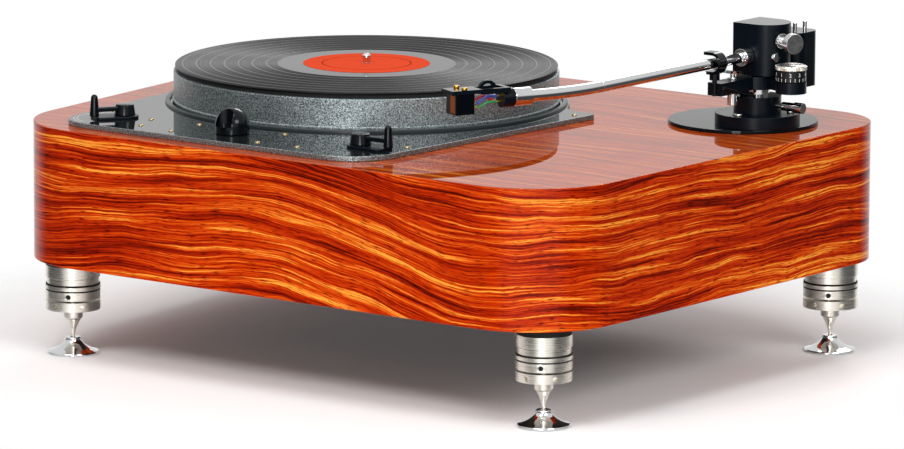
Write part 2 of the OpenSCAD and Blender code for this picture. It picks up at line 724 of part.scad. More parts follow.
// Controls
module lever_base(p, a, l) at(p, plate_top) rotate([0, 0, a]) difference() {
    linear_extrude(lever_base_t) round_plan([[0, 0, lever_hub_r + 2.5],
        [l - lever_base_r, -lever_base_w, lever_base_r], [l - lever_base_r, lever_base_r, lever_base_r]]);
    translate([0, 0, -cut]) cylinder(r = control_shaft_r + run, h = lever_base_t + 2 * cut);
}
module lever_bases() color("#232526") {
    lever_base(speed_hub, speed_angle, speed_lever_l);
    lever_base(start_hub, start_angle, start_lever_l);
}
module lever(p, a, l, bar_w = 6.4, bar_t = 3.6, tip = 0.72) color("#0f1011") at(p) rotate([0, 0, a]) {
    translate([0, 0, control_z]) cylinder(r1 = lever_hub_r, r2 = lever_hub_r * 0.86, h = lever_hub_h);
    translate([0, -bar_w / 2, control_z + lever_bar_z]) cube([l, bar_w, bar_t]);
    translate([l, 0, control_z]) cylinder(r1 = finger_r, r2 = finger_r * tip, h = finger_h);
    translate([l, 0, control_z + finger_h]) sphere(finger_r * tip);
    translate([0, 0, top - control_shaft_l])
        cylinder(r = control_shaft_r, h = control_z - top + control_shaft_l);
}
module speed_lever() lever(speed_hub, speed_angle, speed_lever_l);
module start_lever() lever(start_hub, start_angle, start_lever_l);
module speed_knob(bite_r = 7.8) color("#0f1011") at(knob_hub) {
    translate([0, 0, plate_top + 0.3]) difference() {
        union() {
            cylinder(r = knob_r, h = knob_foot_h);
            translate([0, 0, knob_foot_h]) sphere(knob_r);
        }
        translate([0, 0, -knob_r]) cylinder(r = knob_r + cut, h = knob_r);
        for (s = [-1, 1]) translate([0, s * (knob_grip_t / 2 + bite_r), knob_foot_h - 0.6])
            cylinder(r = bite_r, h = knob_r + cut);
    }
    translate([0, 0, top - control_shaft_l])
        cylinder(r = control_shaft_r, h = plate_t + 0.3 + control_shaft_l);
}

// Arm base
module arm_disc() color("#101112") difference() {
    at(disc_at, top) cylinder(r = disc_r, h = disc_t);
    at_arm(top - cut) cylinder(r = post_hole_r, h = disc_t + 2 * cut);
}
module flange_slot(r, h) rotate([0, 0, 0]) {
    for (s = [-1, 1]) translate([0, 3 * s, 0]) cylinder(r = r, h = h);
    translate([-r, -3, 0]) cube([2 * r, 6, h]);
}
module at_slots() for (a = [30 : 120 : 270]) rotate([0, 0, a]) translate([slot_at, 0, 0]) children();
module arm_flange() color("#131415") at_arm(top + disc_t) difference() {
    cylinder(r = arm_flange_r, h = arm_flange_h);
    translate([0, 0, -cut]) cylinder(r = post_hole_r, h = arm_flange_h + 2 * cut);
    translate([0, 0, -cut]) at_slots() flange_slot(slot_r, arm_flange_h + 2 * cut);
}
module flange_screws() color("#b8b8b6") at_arm(top + disc_t) at_slots() {
    cylinder(r = slot_r - 0.3, h = arm_flange_h);
    translate([0, 0, arm_flange_h]) cylinder(r = slot_r + 1, h = 1.6);
}
module arm_pillar() color("#131415") at_arm(pillar_z) difference() {
    cylinder(r = pillar_r, h = pillar_h);
    translate([0, 0, -cut]) cylinder(r = post_r + run, h = pillar_h + 2 * cut);
    translate([post_r, 0, pillar_h / 2]) along_x() cylinder(r = thumb_stem_r + run, h = pillar_r);
}
module thumbscrew() color("#cfcfcf") at_arm(thumb_z) along_x() {
    translate([0, 0, post_r + 1]) cylinder(r = thumb_stem_r, h = pillar_r - post_r - 1 + thumb_stem);
    translate([0, 0, pillar_r + thumb_stem]) cylinder(r = thumb_r, h = thumb_l);
    translate([0, 0, pillar_r + thumb_stem + thumb_l]) cylinder(r = thumb_r + 0.7, h = thumb_end_l);
}
module arm_post() color("#d6d6d6") at_arm(post_z) difference() {
    cylinder(r = post_r, h = carrier_top - post_z);
    translate([0, 0, -cut]) cylinder(r = yaw_shaft_r - 1.5, h = carrier_top - post_z + 2 * cut);
    translate([0, 0, pillar_z - post_z]) cylinder(r = yaw_shaft_r + run, h = carrier_top - pillar_z + cut);
}
module bar_plan(a, b, w) {
    d = [b[0] - a[0], b[1] - a[1]];
    translate(a) rotate([0, 0, atan2(d[1], d[0])]) translate([0, -w / 2]) square([norm(d), w]);
}
module arm_carrier() color("#141516") difference() {
    union() {
        at_arm(carrier_z) cylinder(r = carrier_r, h = carrier_t);
        translate([0, 0, carrier_z]) linear_extrude(carrier_t) bar_plan(arm_at, rest_at, carrier_arm_w);
        translate([0, 0, carrier_z + 1]) linear_extrude(carrier_t - 2) bar_plan(arm_at, dial_at, wing_w);
        at(dial_at, carrier_z + 1) cylinder(r = dial_r, h = carrier_t - 1);
        at(dial_at, carrier_top) cylinder(r = dial_pin_r, h = dial_h - 3);
        translate([arm_at[0] + 2, cue_at[1] - 3, cue_z - 3])
            cube([carrier_arm_w / 2 - 2, 6, carrier_z - cue_z + 3 + cut]);
        translate([arm_at[0] + 2, cue_at[1], cue_z]) along_x()
            cylinder(r = cue_pin_r, h = cue_at[0] - arm_at[0]);
    }
    at_arm(carrier_z - cut) cylinder(r = post_r + press, h = carrier_t + 2 * cut);
    at(lift_at, carrier_z - cut) cylinder(r = lift_r + press, h = carrier_t + 2 * cut);
    at(rest_at, carrier_z - cut) cylinder(r = rest_neck_r + press, h = carrier_t + 2 * cut);
}
module arm_rest() color("#131415") {
    at(rest_at, carrier_z) cylinder(r = rest_neck_r, h = axis_z - hook_r - hook_wall - carrier_z);
    at(rest_at, carrier_top + 2.4) cylinder(r = rest_stem_r, h = axis_z - hook_r - carrier_top - 2.4);
    translate([rest_at[0], rest_at[1] - hook_w / 2, axis_z]) difference() {
        union() {
            along_y() cylinder(r = hook_r + hook_wall, h = hook_w);
            translate([-hook_r - 1, 0, hook_r]) cube([hook_r + 1, hook_w, hook_wall]);
            translate([-hook_r + 1.5, 0, -hook_r - hook_wall]) cube([hook_r - 1.5, hook_w, hook_wall]);
        }
        translate([0, -cut, 0]) along_y() cylinder(r = hook_r, h = hook_w + 2 * cut);
        translate([-2 * hook_r - hook_wall, -cut, -hook_r])
            cube([2 * hook_r + hook_wall, hook_w + 2 * cut, 2 * hook_r]);
    }
}
module lift_cylinder() color("#d4d4d4") at(lift_at, carrier_z - lift_drop)
    ring(lift_r, lift_pin_r + run, lift_drop + carrier_t + 1.6);
module lift_bar() color("#d4d4d4") {
    at(lift_at, carrier_z) cylinder(r = lift_pin_r, h = lift_bar_z - carrier_z);
    at_arm(lift_bar_z) rotate([0, 0, -148]) rotate_extrude(angle = 70)
        translate([arm_at[1] - lift_at[1] - lift_bar_w / 2, 0]) square([lift_bar_w, lift_bar_t]);
}
module cue_lever() color("#121314") translate([cue_at[0], cue_at[1], cue_z]) {
    translate([-1.8, 0, 0]) along_x() difference() {
        cylinder(r = 2.8, h = 3.6);
        translate([0, 0, -cut]) cylinder(r = cue_pin_r + run, h = 3.6 + 2 * cut);
    }
    rotate([-cue_rise, 0, 0]) translate([0, -cue_l, 0]) along_y() cylinder(r = cue_r, h = cue_l - 2.4);
}
module force_dial() color("#1a1a1b") at(dial_at, dial_z) difference() {
    union() {
        cylinder(r = dial_r - 0.3, h = dial_h - 4);
        translate([0, 0, dial_h - 4]) cylinder(r = dial_r + 0.4, h = 4);
    }
    translate([0, 0, -cut]) cylinder(r = dial_pin_r + run, h = dial_h - 3 + cut);
}

// Arm block
module block_plan() {
    translate(block_round) circle(block_r);
    translate([block_left, block_front]) square([block_round[0] - block_left, 2 * block_r]);
}
module arm_block() color("#111214") at_arm() difference() {
    union() {
        translate([0, 0, block_z]) linear_extrude(block_h) block_plan();
        translate([0, 0, pillar_z + 2]) cylinder(r = yaw_shaft_r, h = block_z - pillar_z - 2);
    }
    translate([0, block_front - cut, axis_z]) along_y() cylinder(r = block_bore_r, h = 2 * block_r + 2 * cut);
    translate([block_left - cut, pivot_y, axis_z]) along_x()
        cylinder(r = pivot_r + run, h = block_round[0] + block_r - block_left + 2 * cut);
    translate([pivot_end[1], pivot_y, axis_z]) along_x()
        cylinder(r = pivot_head_r + press, h = block_r - pivot_out + cut);
    translate([block_left - cut, pivot_y, axis_z]) along_x()
        cylinder(r = pivot_head_r + press, h = cut + pivot_sink);
    translate([side_knob_at[0], side_knob_at[1], side_knob_z]) rotate([0, 0, side_knob_a])
        translate([-side_pin_l - 1, 0, 0]) along_x() cylinder(r = side_pin_r + run, h = side_pin_l + 5);
}
module pivot_screws() color("#d0d0d0") at_arm(axis_z) {
    translate([pivot_end[1], pivot_y, 0]) along_x() cylinder(r = pivot_head_r, h = 2.8);
    translate([pivot_half_l + 0.2, pivot_y, 0]) along_x()
        cylinder(r = pivot_r, h = pivot_end[1] - pivot_half_l - 0.2);
    translate([block_left - 1.4, pivot_y, 0]) along_x() cylinder(r = pivot_head_r, h = 2.6);
    translate([pivot_end[0], pivot_y, 0]) along_x()
        cylinder(r = pivot_r, h = -pivot_half_l - 0.2 - pivot_end[0]);
}
module side_knob() color("#c8c8c6") at_arm() translate([side_knob_at[0], side_knob_at[1], side_knob_z])
    rotate([0, 0, side_knob_a]) along_x() {
        translate([0, 0, -side_pin_l]) cylinder(r = side_pin_r, h = side_pin_l + side_gap);
        translate([0, 0, side_gap]) cylinder(r = side_collar_r, h = side_collar_t);
        translate([0, 0, side_gap + side_collar_t]) cylinder(r = side_stem_r, h = side_stem_l);
        translate([0, 0, side_gap + side_collar_t + side_stem_l]) cylinder(r = side_knob_r, h = side_knob_t);
    }

// Arm tube and counterweight
module arm_tube() color("#dadada") difference() {
    union() {
        at_arm(axis_z) translate([0, -tube_l, 0]) along_y()
            cylinder(r1 = tube_r2, r2 = tube_r1, h = tube_l + pivot_y + 6);
        at_arm(axis_z) translate([0, pivot_y + 6, 0]) along_y()
            cylinder(r = rod_r - run, h = rod_l - pivot_y - 6);
        at(bend_at, axis_z) rotate([0, 0, -bend_a]) rotate_extrude(angle = bend_a + seam_a)
            translate([bend_r, 0]) circle(tube_r2 - seam);
        at_head() translate([0, -collet_l - 0.5, 0]) along_y()
            cylinder(r = tube_r2 - 2 * seam, h = collet_l + 0.5 + 6 * seam);
        at_head() translate([0, head_y - 5, 0]) along_y() cylinder(r = nose_r, h = 5);
    }
    at_head() translate([0, head_y - 5 - cut, 0]) along_y()
        cylinder(r = tube_r1 - tube_wall, h = collet_l + cut);
    at_arm(axis_z) translate([-pivot_cut, pivot_y, 0]) along_x()
        cylinder(r = pivot_r + press, h = 2 * pivot_cut);
}
module pivot_pin() color("#b0b0b0") at_arm(axis_z) translate([-pivot_half_l, pivot_y, 0])
    along_x() cylinder(r = pivot_r, h = 2 * pivot_half_l);
module arm_collar() color("#e0e0e0") at_arm(axis_z) translate([0, block_front - 0.6 - arm_collar_l, 0])
    along_y() difference() {
        cylinder(r = arm_collar_r, h = arm_collar_l);
        translate([0, 0, -cut]) cylinder(r = tube_r1 + 0.12, h = arm_collar_l + 2 * cut);
    }
module weight_plan() round_plan([for (p = [
    [weight_left, weight_front], [weight_left + weight_w, weight_front],
    [weight_left + weight_w, weight_front + weight_l], [weight_left, weight_front + weight_l]])
    [p[0] + (p[0] < 0 ? weight_round : -weight_round),
     p[1] + (p[1] == weight_front ? weight_round : -weight_round), weight_round]]);
weight_pin_at = [for (y = [0.3, 0.75]) [weight_left + weight_w * 0.72, weight_front + weight_l * y]];
module counterweight() color("#131415") at_arm() difference() {
    translate([0, 0, weight_z]) linear_extrude(weight_h) weight_plan();
    translate([0, weight_front - cut, axis_z]) along_y() cylinder(r = rod_r, h = weight_l + 2 * cut);
    for (p = weight_pin_at) at(p, weight_z + weight_h - 5) cylinder(r = weight_pin_r + press, h = 5 + cut);
}
module weight_pins() color("#d8d8d8") at_arm() {
    for (p = weight_pin_at) at(p, weight_z + weight_h - 5) cylinder(r = weight_pin_r, h = weight_pin_h + 5);
    translate([weight_left + weight_w * 0.6, weight_front + weight_l, weight_z + weight_h - weight_screw_down])
        along_y() cylinder(r = weight_screw_r, h = weight_screw_l);
}

// Head
module collet_ring() color("#e0e0e0") at_head() translate([0, -collet_l, 0]) along_y() difference() {
    cylinder(r = collet_r, h = collet_l - 0.3);
    translate([0, 0, -cut]) cylinder(r = tube_r2 - 2 * seam + run, h = collet_l + 2 * cut);
}
module headshell() color("#101113") at_head() difference() {
    union() {
        translate([0, head_front_y, 0]) along_y() cylinder(r = head_collar_r, h = head_collar_l);
        for (s = [-1, 1]) translate([s * (head_w - rail_w) / 2 - rail_w / 2, plate_y, head_top - rail_h])
            cube([rail_w, frame_l + 2, rail_h]);
        translate([-head_w / 2, head_front_y, head_top - rail_h]) cube([head_w, 4, rail_h]);
        translate([-head_w / 2, plate_y - head_plate_l, cartridge_top])
            cube([head_w, head_plate_l, head_plate_t]);
        translate([-(head_w - rail_w) / 2 - rail_w / 2, plate_y + frame_l / 2 + lift_loop_back, head_top - rail_h])
            along_x() difference() {
            rotate_extrude() translate([lift_loop_r - 2.4, 0]) square([2.4, rail_w]);
            translate([0, -lift_loop_r - cut, -cut])
                cube([lift_loop_r + cut, 2 * (lift_loop_r + cut), rail_w + 2 * cut]);
        }
    }
    translate([0, head_y - 5, 0]) along_y() cylinder(r = nose_r + press, h = 5 + cut);
    for (s = [-1, 1]) translate([s * screw_gap / 2, screw_y, cartridge_top - cut])
        cylinder(r = 1.2 + press, h = head_plate_t + 2 * cut);
}
module cartridge() color("#0d0e10") at_head() difference() {
    translate([-cartridge_w / 2, cartridge_y - cartridge_l, cartridge_top - cartridge_h])
        cube([cartridge_w, cartridge_l, cartridge_h]);
    for (s = [-1, 1]) translate([s * screw_gap / 2, screw_y, cartridge_top - 4])
        cylinder(r = 1.2 + press, h = 4 + cut);
}
module stylus() color("#cfcfcf") at_head()
    translate([0, cartridge_y - cartridge_l + 4, cartridge_top - cartridge_h - stylus_l]) {
        cylinder(r1 = 0.15, r2 = 0.5, h = stylus_l);
        translate([0, 0, stylus_l - 0.6]) cylinder(r = 1.2, h = 0.6);
    }
module cartridge_screws() color("#d9a53c") at_head() for (s = [-1, 1])
    translate([s * screw_gap / 2, screw_y, 0]) {
    translate([0, 0, head_top]) cylinder(r = 2.2, h = 2);
    translate([0, 0, cartridge_top - 4]) cylinder(r = 1.2, h = head_plate_t + 4);
}
module contact_pins() color("#e0b04a") at_head() {
    for (c = contact_head) translate([c[0], head_front_y - contact_l, c[1]]) along_y()
        cylinder(r = contact_r, h = contact_l);
    for (c = contact_cartridge) translate([c[0], cartridge_y, c[1]]) along_y()
        cylinder(r = contact_r, h = contact_l);
}

// A wire runs from a headshell contact to a cartridge contact in a low arch
wire_from = head_front_y - contact_l;
wire_to = cartridge_y + contact_l;
function ease(t) = t * t * (3 - 2 * t);
function wire_point(i, t) = [
    contact_head[i][0] + (contact_cartridge[i][0] - contact_head[i][0]) * ease(t),
    wire_from + (wire_to - wire_from) * t,
    contact_head[i][1] + (contact_cartridge[i][1] - contact_head[i][1]) * ease(t)
        + (1.4 - 0.5 * i) * pow(sin(180 * t), 2)];
function wire_ring(i, k) =
    let (t = k / wire_rings, p = wire_point(i, t), h = 0.01,
        d = wire_point(i, min(t + h, 1)) - wire_point(i, max(t - h, 0)),
        f = (k == 0 || k == wire_rings) ? [0, -1, 0] : d / norm(d),
        u = cross(f, [1, 0, 0]) / norm(cross(f, [1, 0, 0])), v = cross(f, u))
    [for (s = [0 : wire_sides - 1])
        p + wire_r * (u * cos(360 * s / wire_sides) + v * sin(360 * s / wire_sides))];
module wire(i) {
    n = wire_sides;
    points = [for (k = [0 : wire_rings]) each wire_ring(i, k)];
    sides = [for (k = [0 : wire_rings - 1], s = [0 : n - 1])
        let (a = k * n + s, b = k * n + (s + 1) % n)
        each [[a, b, b + n], [a, b + n, a + n]]];
    first = [for (s = [1 : n - 2]) [0, s + 1, s]];
    last = [for (s = [1 : n - 2]) [0, s, s + 1] + [1, 1, 1] * wire_rings * n];
    polyhedron(points, concat(sides, first, last));
}
module signal_wires() color("#3355aa") at_head() for (i = [0 : 3]) wire(i);

plinth();
base_board();
chassis_plate();
chassis_screws();
main_bearing();
thrust_ball();
motor_bracket();
motor_mounts();
motor_case();
idler_arm();
lever_bases();
arm_disc();
arm_flange();
flange_screws();
arm_pillar();
cable_glands();
foot_seals();
foot_housings();
platter();
platter_mat();
record();
record_label();
spindle_shaft();
idler_wheel();
idler_tyre();
motor_pulley();
speed_lever();
start_lever();
speed_knob();
arm_post();
arm_carrier();
arm_rest();
lift_cylinder();
lift_bar();
cue_lever();
force_dial();
arm_block();
pivot_screws();
side_knob();
arm_tube();
arm_collar();
pivot_pin();
headshell();
cartridge();
stylus();
cartridge_screws();
contact_pins();
signal_wires();
counterweight();
weight_pins();
collet_ring();
thumbscrew();
foot_spike_fl();
foot_spike_fr();
foot_spike_bl();
foot_spike_br();
foot_shoe_fl();
foot_shoe_fr();
foot_shoe_bl();
foot_shoe_br();
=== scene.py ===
"""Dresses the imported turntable: lacquered plinth, grey chassis, record, long arm and spiked feet.

Lengths in the classes are millimetres in the part's own frame; meshes are made in metres.
"""

from __future__ import annotations

import json
import logging
import math
from dataclasses import dataclass, field
from enum import Enum
from typing import Iterable, Sequence

import bpy
from mathutils import Matrix, Vector

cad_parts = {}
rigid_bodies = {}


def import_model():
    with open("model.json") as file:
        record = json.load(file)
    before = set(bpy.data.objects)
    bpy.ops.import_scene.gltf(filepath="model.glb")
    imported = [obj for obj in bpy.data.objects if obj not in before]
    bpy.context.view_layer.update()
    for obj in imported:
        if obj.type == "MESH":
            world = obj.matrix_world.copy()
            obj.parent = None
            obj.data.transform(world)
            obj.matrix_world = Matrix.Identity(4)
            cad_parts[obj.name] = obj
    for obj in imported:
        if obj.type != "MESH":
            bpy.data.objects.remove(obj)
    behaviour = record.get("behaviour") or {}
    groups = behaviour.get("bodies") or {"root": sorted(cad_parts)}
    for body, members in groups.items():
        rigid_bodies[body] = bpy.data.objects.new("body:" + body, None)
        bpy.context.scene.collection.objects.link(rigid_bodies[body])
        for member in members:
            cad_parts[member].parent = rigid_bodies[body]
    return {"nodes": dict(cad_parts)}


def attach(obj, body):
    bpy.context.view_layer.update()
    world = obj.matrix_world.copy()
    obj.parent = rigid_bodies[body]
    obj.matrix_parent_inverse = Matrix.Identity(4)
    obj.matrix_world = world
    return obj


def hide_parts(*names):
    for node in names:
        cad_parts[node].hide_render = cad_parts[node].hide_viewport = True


LOG = logging.getLogger("turntable")
MM = 0.001
Point2 = tuple[float, float]
Point3 = tuple[float, float, float]
Piece = bpy.types.Object
Tree = bpy.types.NodeTree
Socket = bpy.types.NodeSocket
Feeds = dict[str | int, object]

# Heights and places shared by the sub-assemblies, in millimetres
PLINTH_Z = 75.6
TOP = 183.6
PLATE_TOP = TOP + 4.2
PLATTER_TOP = PLATE_TOP + 25.4
RECORD_TOP = PLATTER_TOP + 4.7
AXIS_Z = TOP + 57.5
SPINDLE: Point2 = (-72.4, 13.0)
ARM: Point2 = (228.0, 120.0)
SPEED_HUB: Point2 = (-167.5, -170.0)
START_HUB: Point2 = (61.1, -165.4)
KNOB: Point2 = (-54.5, -177.0)
# Lean of the plinth's left side, and the hole for the arm's post
SPLAY = math.radians(6.6)
POST_HOLE_R = 11.8
# Points closer than this are merged, in metres
MERGE = 2e-6
# Height of a figure as a share of its type size
FIGURE_SHARE = 0.69
# The photograph's width in pixels and the camera's sensor in millimetres
PHOTO_W = 904
SENSOR = 36.0
# A Mix node's sockets for colours: first, second and result
MIX_A, MIX_B, MIXED = 6, 7, 2


class Axis(Enum):
    """Which way a turned piece points once it is placed."""

    UP = "up"
    ALONG_X = "x"
    ALONG_Y = "y"


class Grain(Enum):
    """Direction of the turning marks on a metal piece."""

    RINGS_UP = "marks stacked along Z"
    PLAIN = "no marks"


def linear(code: str) -> tuple[float, float, float, float]:
    """Turns an sRGB hex colour into linear RGBA.

    Args:
        code: Colour as "#rrggbb".

    Returns:
        Linear red, green and blue with alpha 1.
    """
    parts = [int(code[i:i + 2], 16) / 255 for i in (1, 3, 5)]
    lin = [p / 12.92 if p <= 0.04045 else ((p + 0.055) / 1.055) ** 2.4 for p in parts]
    return lin[0], lin[1], lin[2], 1.0


def feed(tree: Tree, node: bpy.types.Node, feeds: Feeds) -> None:
    """Links sockets to a node's inputs, and sets the inputs that get a constant.

    Args:
        tree: The node's tree.
        node: Node to feed.
        feeds: Input name or index to a socket or a constant.
    """
    for key, value in feeds.items():
        if isinstance(value, Socket):
            tree.links.new(value, node.inputs[key])
        else:
            node.inputs[key].default_value = value


def add(tree: Tree, kind: str, feeds: Feeds | None = None, stops: Sequence[tuple[float, str]] = (),
        **settings) -> bpy.types.bpy_prop_collection:
    """Adds a shader node with its settings and links.

    Args:
        tree: Node tree to add to.
        kind: Node type without its common prefix, such as "TexNoise".
        feeds: What feeds its inputs.
        stops: Position and sRGB hex colour of each stop, for a colour ramp.
        **settings: Attributes of the node.

    Returns:
        The new node's outputs.
    """
    node = tree.nodes.new("ShaderNode" + kind)
    for key, value in settings.items():
        setattr(node, key, value)
    feed(tree, node, feeds or {})
    for i, (position, code) in enumerate(stops):
        elements = node.color_ramp.elements
        element = elements[i] if i < 2 else elements.new(position)
        element.position = position
        element.color = linear(code)
    return node.outputs


def from_spindle(tree: Tree, where: Socket) -> Socket:
    """Returns the distance from the platter's axis in metres."""
    flat = add(tree, "VectorMath", {0: where, 1: (1.0, 1.0, 0.0)}, operation="MULTIPLY")[0]
    centre = (SPINDLE[0] * MM, SPINDLE[1] * MM, 0.0)
    return add(tree, "VectorMath", {0: flat, 1: centre}, operation="DISTANCE")["Value"]


@dataclass(frozen=True)
class Finish:
    """A surface finish; a subclass draws its own nodes."""

    name: str
    colour: str = "#808080"
    roughness: float = 0.4
    metallic: float = 0.0
    ior: float = 1.5
    specular: float = 0.5
    coat: float = 0.0
    coat_ior: float = 1.5
    coat_roughness: float = 0.03

    def material(self) -> bpy.types.Material:
        """Returns the finish's material, made once."""
        found = bpy.data.materials.get(self.name)
        if found:
            return found
        mat = bpy.data.materials.new(self.name)
        mat.use_nodes = True
        tree = mat.node_tree
        shader = tree.nodes["Principled BSDF"]
        plain = {"Base Color": linear(self.colour), "Roughness": self.roughness, "Metallic": self.metallic,
                 "Specular IOR Level": self.specular, "Coat Weight": self.coat, "Coat IOR": self.coat_ior,
                 "Coat Roughness": self.coat_roughness}
        if self.metallic < 1.0:
            plain["IOR"] = self.ior
        feed(tree, shader, plain)
        feed(tree, shader, self.draw(tree, add(tree, "TexCoord")["Object"]))
        return mat

    def vary(self, tree: Tree, by: Socket, least: float, most: float) -> Socket:
        """Returns the roughness, varied between two shares of itself."""
        return add(tree, "MapRange", {"Value": by, "To Min": self.roughness * least,
                                      "To Max": self.roughness * most})["Result"]

    def draw(self, tree: Tree, where: Socket) -> Feeds:
        """Draws the finish's own detail; here a faint change of roughness about 10 mm wide.

        Args:
            tree: The material's node tree.
            where: Place on the part in metres.

        Returns:
            What feeds the shader's inputs.
        """
        haze = add(tree, "TexNoise", {"Vector": where, "Scale": 90.0, "Detail": 4.0})["Fac"]
        return {"Roughness": self.vary(tree, haze, 0.75, 1.3)}


@dataclass(frozen=True)
class LacqueredRosewood(Finish):
    """Rosewood veneer under thick polished lacquer: long wavy streaks from red-brown to orange, mirror top."""

    line_mm: float = 1.5
    band_mm: float = 8.0
    pore_mm: float = 0.6
    peak_x: float = 35.0
    front_y: float = -228.0

    def bowed(self, tree: Tree, height: Socket, around: Socket) -> Socket:
        """Returns the height on the sides, lifted to a peak on the front and level past the corner.

        Args:
            tree: Node tree to add to.
            height: Height in metres.
            around: Distance round the sides in metres.

        Returns:
            The lifted height, which the streaks follow.
        """
        past = add(tree, "Math", {0: around, 1: (self.peak_x + self.front_y) * MM}, operation="SUBTRACT")[0]
        run = add(tree, "Math", {0: past, 1: 0.16, 2: 0.08}, operation="SMOOTH_MIN")[0]
        # The peak is sharp low down and round at the top
        bow = add(tree, "MapRange", {"Value": height, "From Min": (PLINTH_Z + 12) * MM, "From Max": TOP * MM,
                                     "To Min": 0.003, "To Max": 0.09})["Result"]
        square = add(tree, "Math", {0: bow, 1: bow}, operation="MULTIPLY")[0]
        square = add(tree, "Math", {0: run, 1: run, 2: square}, operation="MULTIPLY_ADD")[0]
        ridge = add(tree, "Math", {0: square}, operation="SQRT")[0]
        lifted = add(tree, "Math", {0: ridge, 1: 0.16, 2: height}, operation="MULTIPLY_ADD")[0]
        return add(tree, "Math", {0: run, 1: 0.09, 2: lifted}, operation="MULTIPLY_ADD")[0]

    @staticmethod
    def streaks(tree: Tree, along: Socket, across: Socket, size: Point2, detail: float,
                roughness: float) -> Socket:
        """Returns noise drawn out along the grain.

        Args:
            tree: Node tree to add to.
            along: Distance along the grain in metres.
            across: Distance across it in metres.
            size: Length and width of a streak in millimetres.
            detail: Octaves of the noise.
            roughness: Weight of each octave.

        Returns:
            The noise from 0 to 1.
        """
        plane = add(tree, "CombineXYZ", {"X": along, "Y": across})[0]
        spot = add(tree, "VectorMath", {0: plane, 1: (1 / (size[0] * MM), 1 / (size[1] * MM), 0.0)},
                   operation="MULTIPLY")[0]
        return add(tree, "TexNoise", {"Vector": spot, "Scale": 1.0, "Detail": detail, "Roughness": roughness},
                   noise_dimensions="2D")["Fac"]

    def draw(self, tree: Tree, where: Socket) -> Feeds:
        """Draws streaks that run round the sides, bow over a peak on the front and run along X on the top."""
        xyz = add(tree, "SeparateXYZ", {"Vector": where})
        around = add(tree, "Math", {0: xyz["X"], 1: xyz["Y"]}, operation="ADD")[0]
        bowed = self.bowed(tree, xyz["Z"], around)
        on_top = add(tree, "Math", {0: xyz["Z"], 1: (TOP - 0.4) * MM}, operation="GREATER_THAN")[0]
        across = add(tree, "Mix", {"Factor": on_top, 2: bowed, 3: xyz["Y"]}, data_type="FLOAT")[0]
        along = add(tree, "Mix", {"Factor": on_top, 2: around, 3: xyz["X"]}, data_type="FLOAT")[0]
        bent = across
        for size, swing in (((130, 60), 16), ((42, 20), 3.2)):
            wave = self.streaks(tree, along, across, size, 1.5, 0.5)
            bent = add(tree, "Math", {0: wave, 1: swing * MM, 2: bent}, operation="MULTIPLY_ADD")[0]
        bands, lines, pores = (self.streaks(tree, along, bent, size, detail, 0.6) for size, detail in (
            ((260, self.band_mm), 2.0), ((110, self.line_mm), 2.0), ((12, self.pore_mm), 1.0)))
        broad = add(tree, "Math", {0: bands, 1: 0.5}, operation="MULTIPLY")[0]
        tone = add(tree, "Math", {0: lines, 1: 0.5, 2: broad}, operation="MULTIPLY_ADD")[0]
        veneer = add(tree, "ValToRGB", {"Fac": tone}, (
            (0.35, "#560e03"), (0.43, "#9e1d03"), (0.50, "#c43206"), (0.57, "#e0540e"),
            (0.65, "#ffa43a")))["Color"]
        pored = add(tree, "ValToRGB", {"Fac": pores}, ((0.30, "#8c4a38"), (0.40, "#ffffff")))["Color"]
        veneer = add(tree, "Mix", {"Factor": 1.0, MIX_A: veneer, MIX_B: pored}, data_type="RGBA",
                     blend_type="MULTIPLY")[MIXED]
        # The top's veneer is calmer and browner than the sides'
        calm = add(tree, "Math", {0: on_top, 1: 0.55}, operation="MULTIPLY")[0]
        veneer = add(tree, "Mix", {"Factor": calm, MIX_A: veneer, MIX_B: linear("#a84a14")},
                     data_type="RGBA")[MIXED]
        return {"Base Color": veneer}


@dataclass(frozen=True)
class HammerEnamel(Finish):
    """Grey hammer-finish stoving enamel: dark pits between bright specks, flat where it is varnished."""

    dimple_mm: float = 1.0
    dark: str = "#434b4d"
    bright: str = "#b0b8b8"
    depth: float = 0.3

    def draw(self, tree: Tree, where: Socket) -> Feeds:
        """Draws the pits as bump and mottled colour."""
        cells = add(tree, "TexNoise", {"Vector": where, "Scale": 1 / (self.dimple_mm * MM), "Detail": 2.0,
                                       "Roughness": 0.5, "Distortion": 0.5})["Fac"]
        colour = add(tree, "ValToRGB", {"Fac": cells}, (
            (0.34, self.dark), (0.5, self.colour), (0.66, self.bright)))["Color"]
        bump = add(tree, "Bump", {"Height": cells, "Strength": self.depth, "Distance": 0.0007})["Normal"]
        return {"Base Color": colour, "Normal": bump}


@dataclass(frozen=True)
class TurnedMetal(Finish):
    """Metal turned on a lathe: fine marks across the axis that catch the light in lines."""

    grain: Grain = Grain.RINGS_UP
    mark_mm: float = 0.35

    def draw(self, tree: Tree, where: Socket) -> Feeds:
        """Draws the turning marks, coarser than the real ones so that they show."""
        rings = self.grain is Grain.RINGS_UP
        stretch = (18.0, 18.0, 1 / (self.mark_mm * MM)) if rings else (260.0, 260.0, 260.0)
        spot = add(tree, "VectorMath", {0: where, 1: stretch}, operation="MULTIPLY")[0]
        marks = add(tree, "TexNoise", {"Vector": spot, "Scale": 1.0, "Detail": 3.0})["Fac"]
        bump = add(tree, "Bump", {"Height": marks, "Strength": 0.12, "Distance": 0.0003})["Normal"]
        return {"Roughness": self.vary(tree, marks, 0.6, 1.5), "Normal": bump}


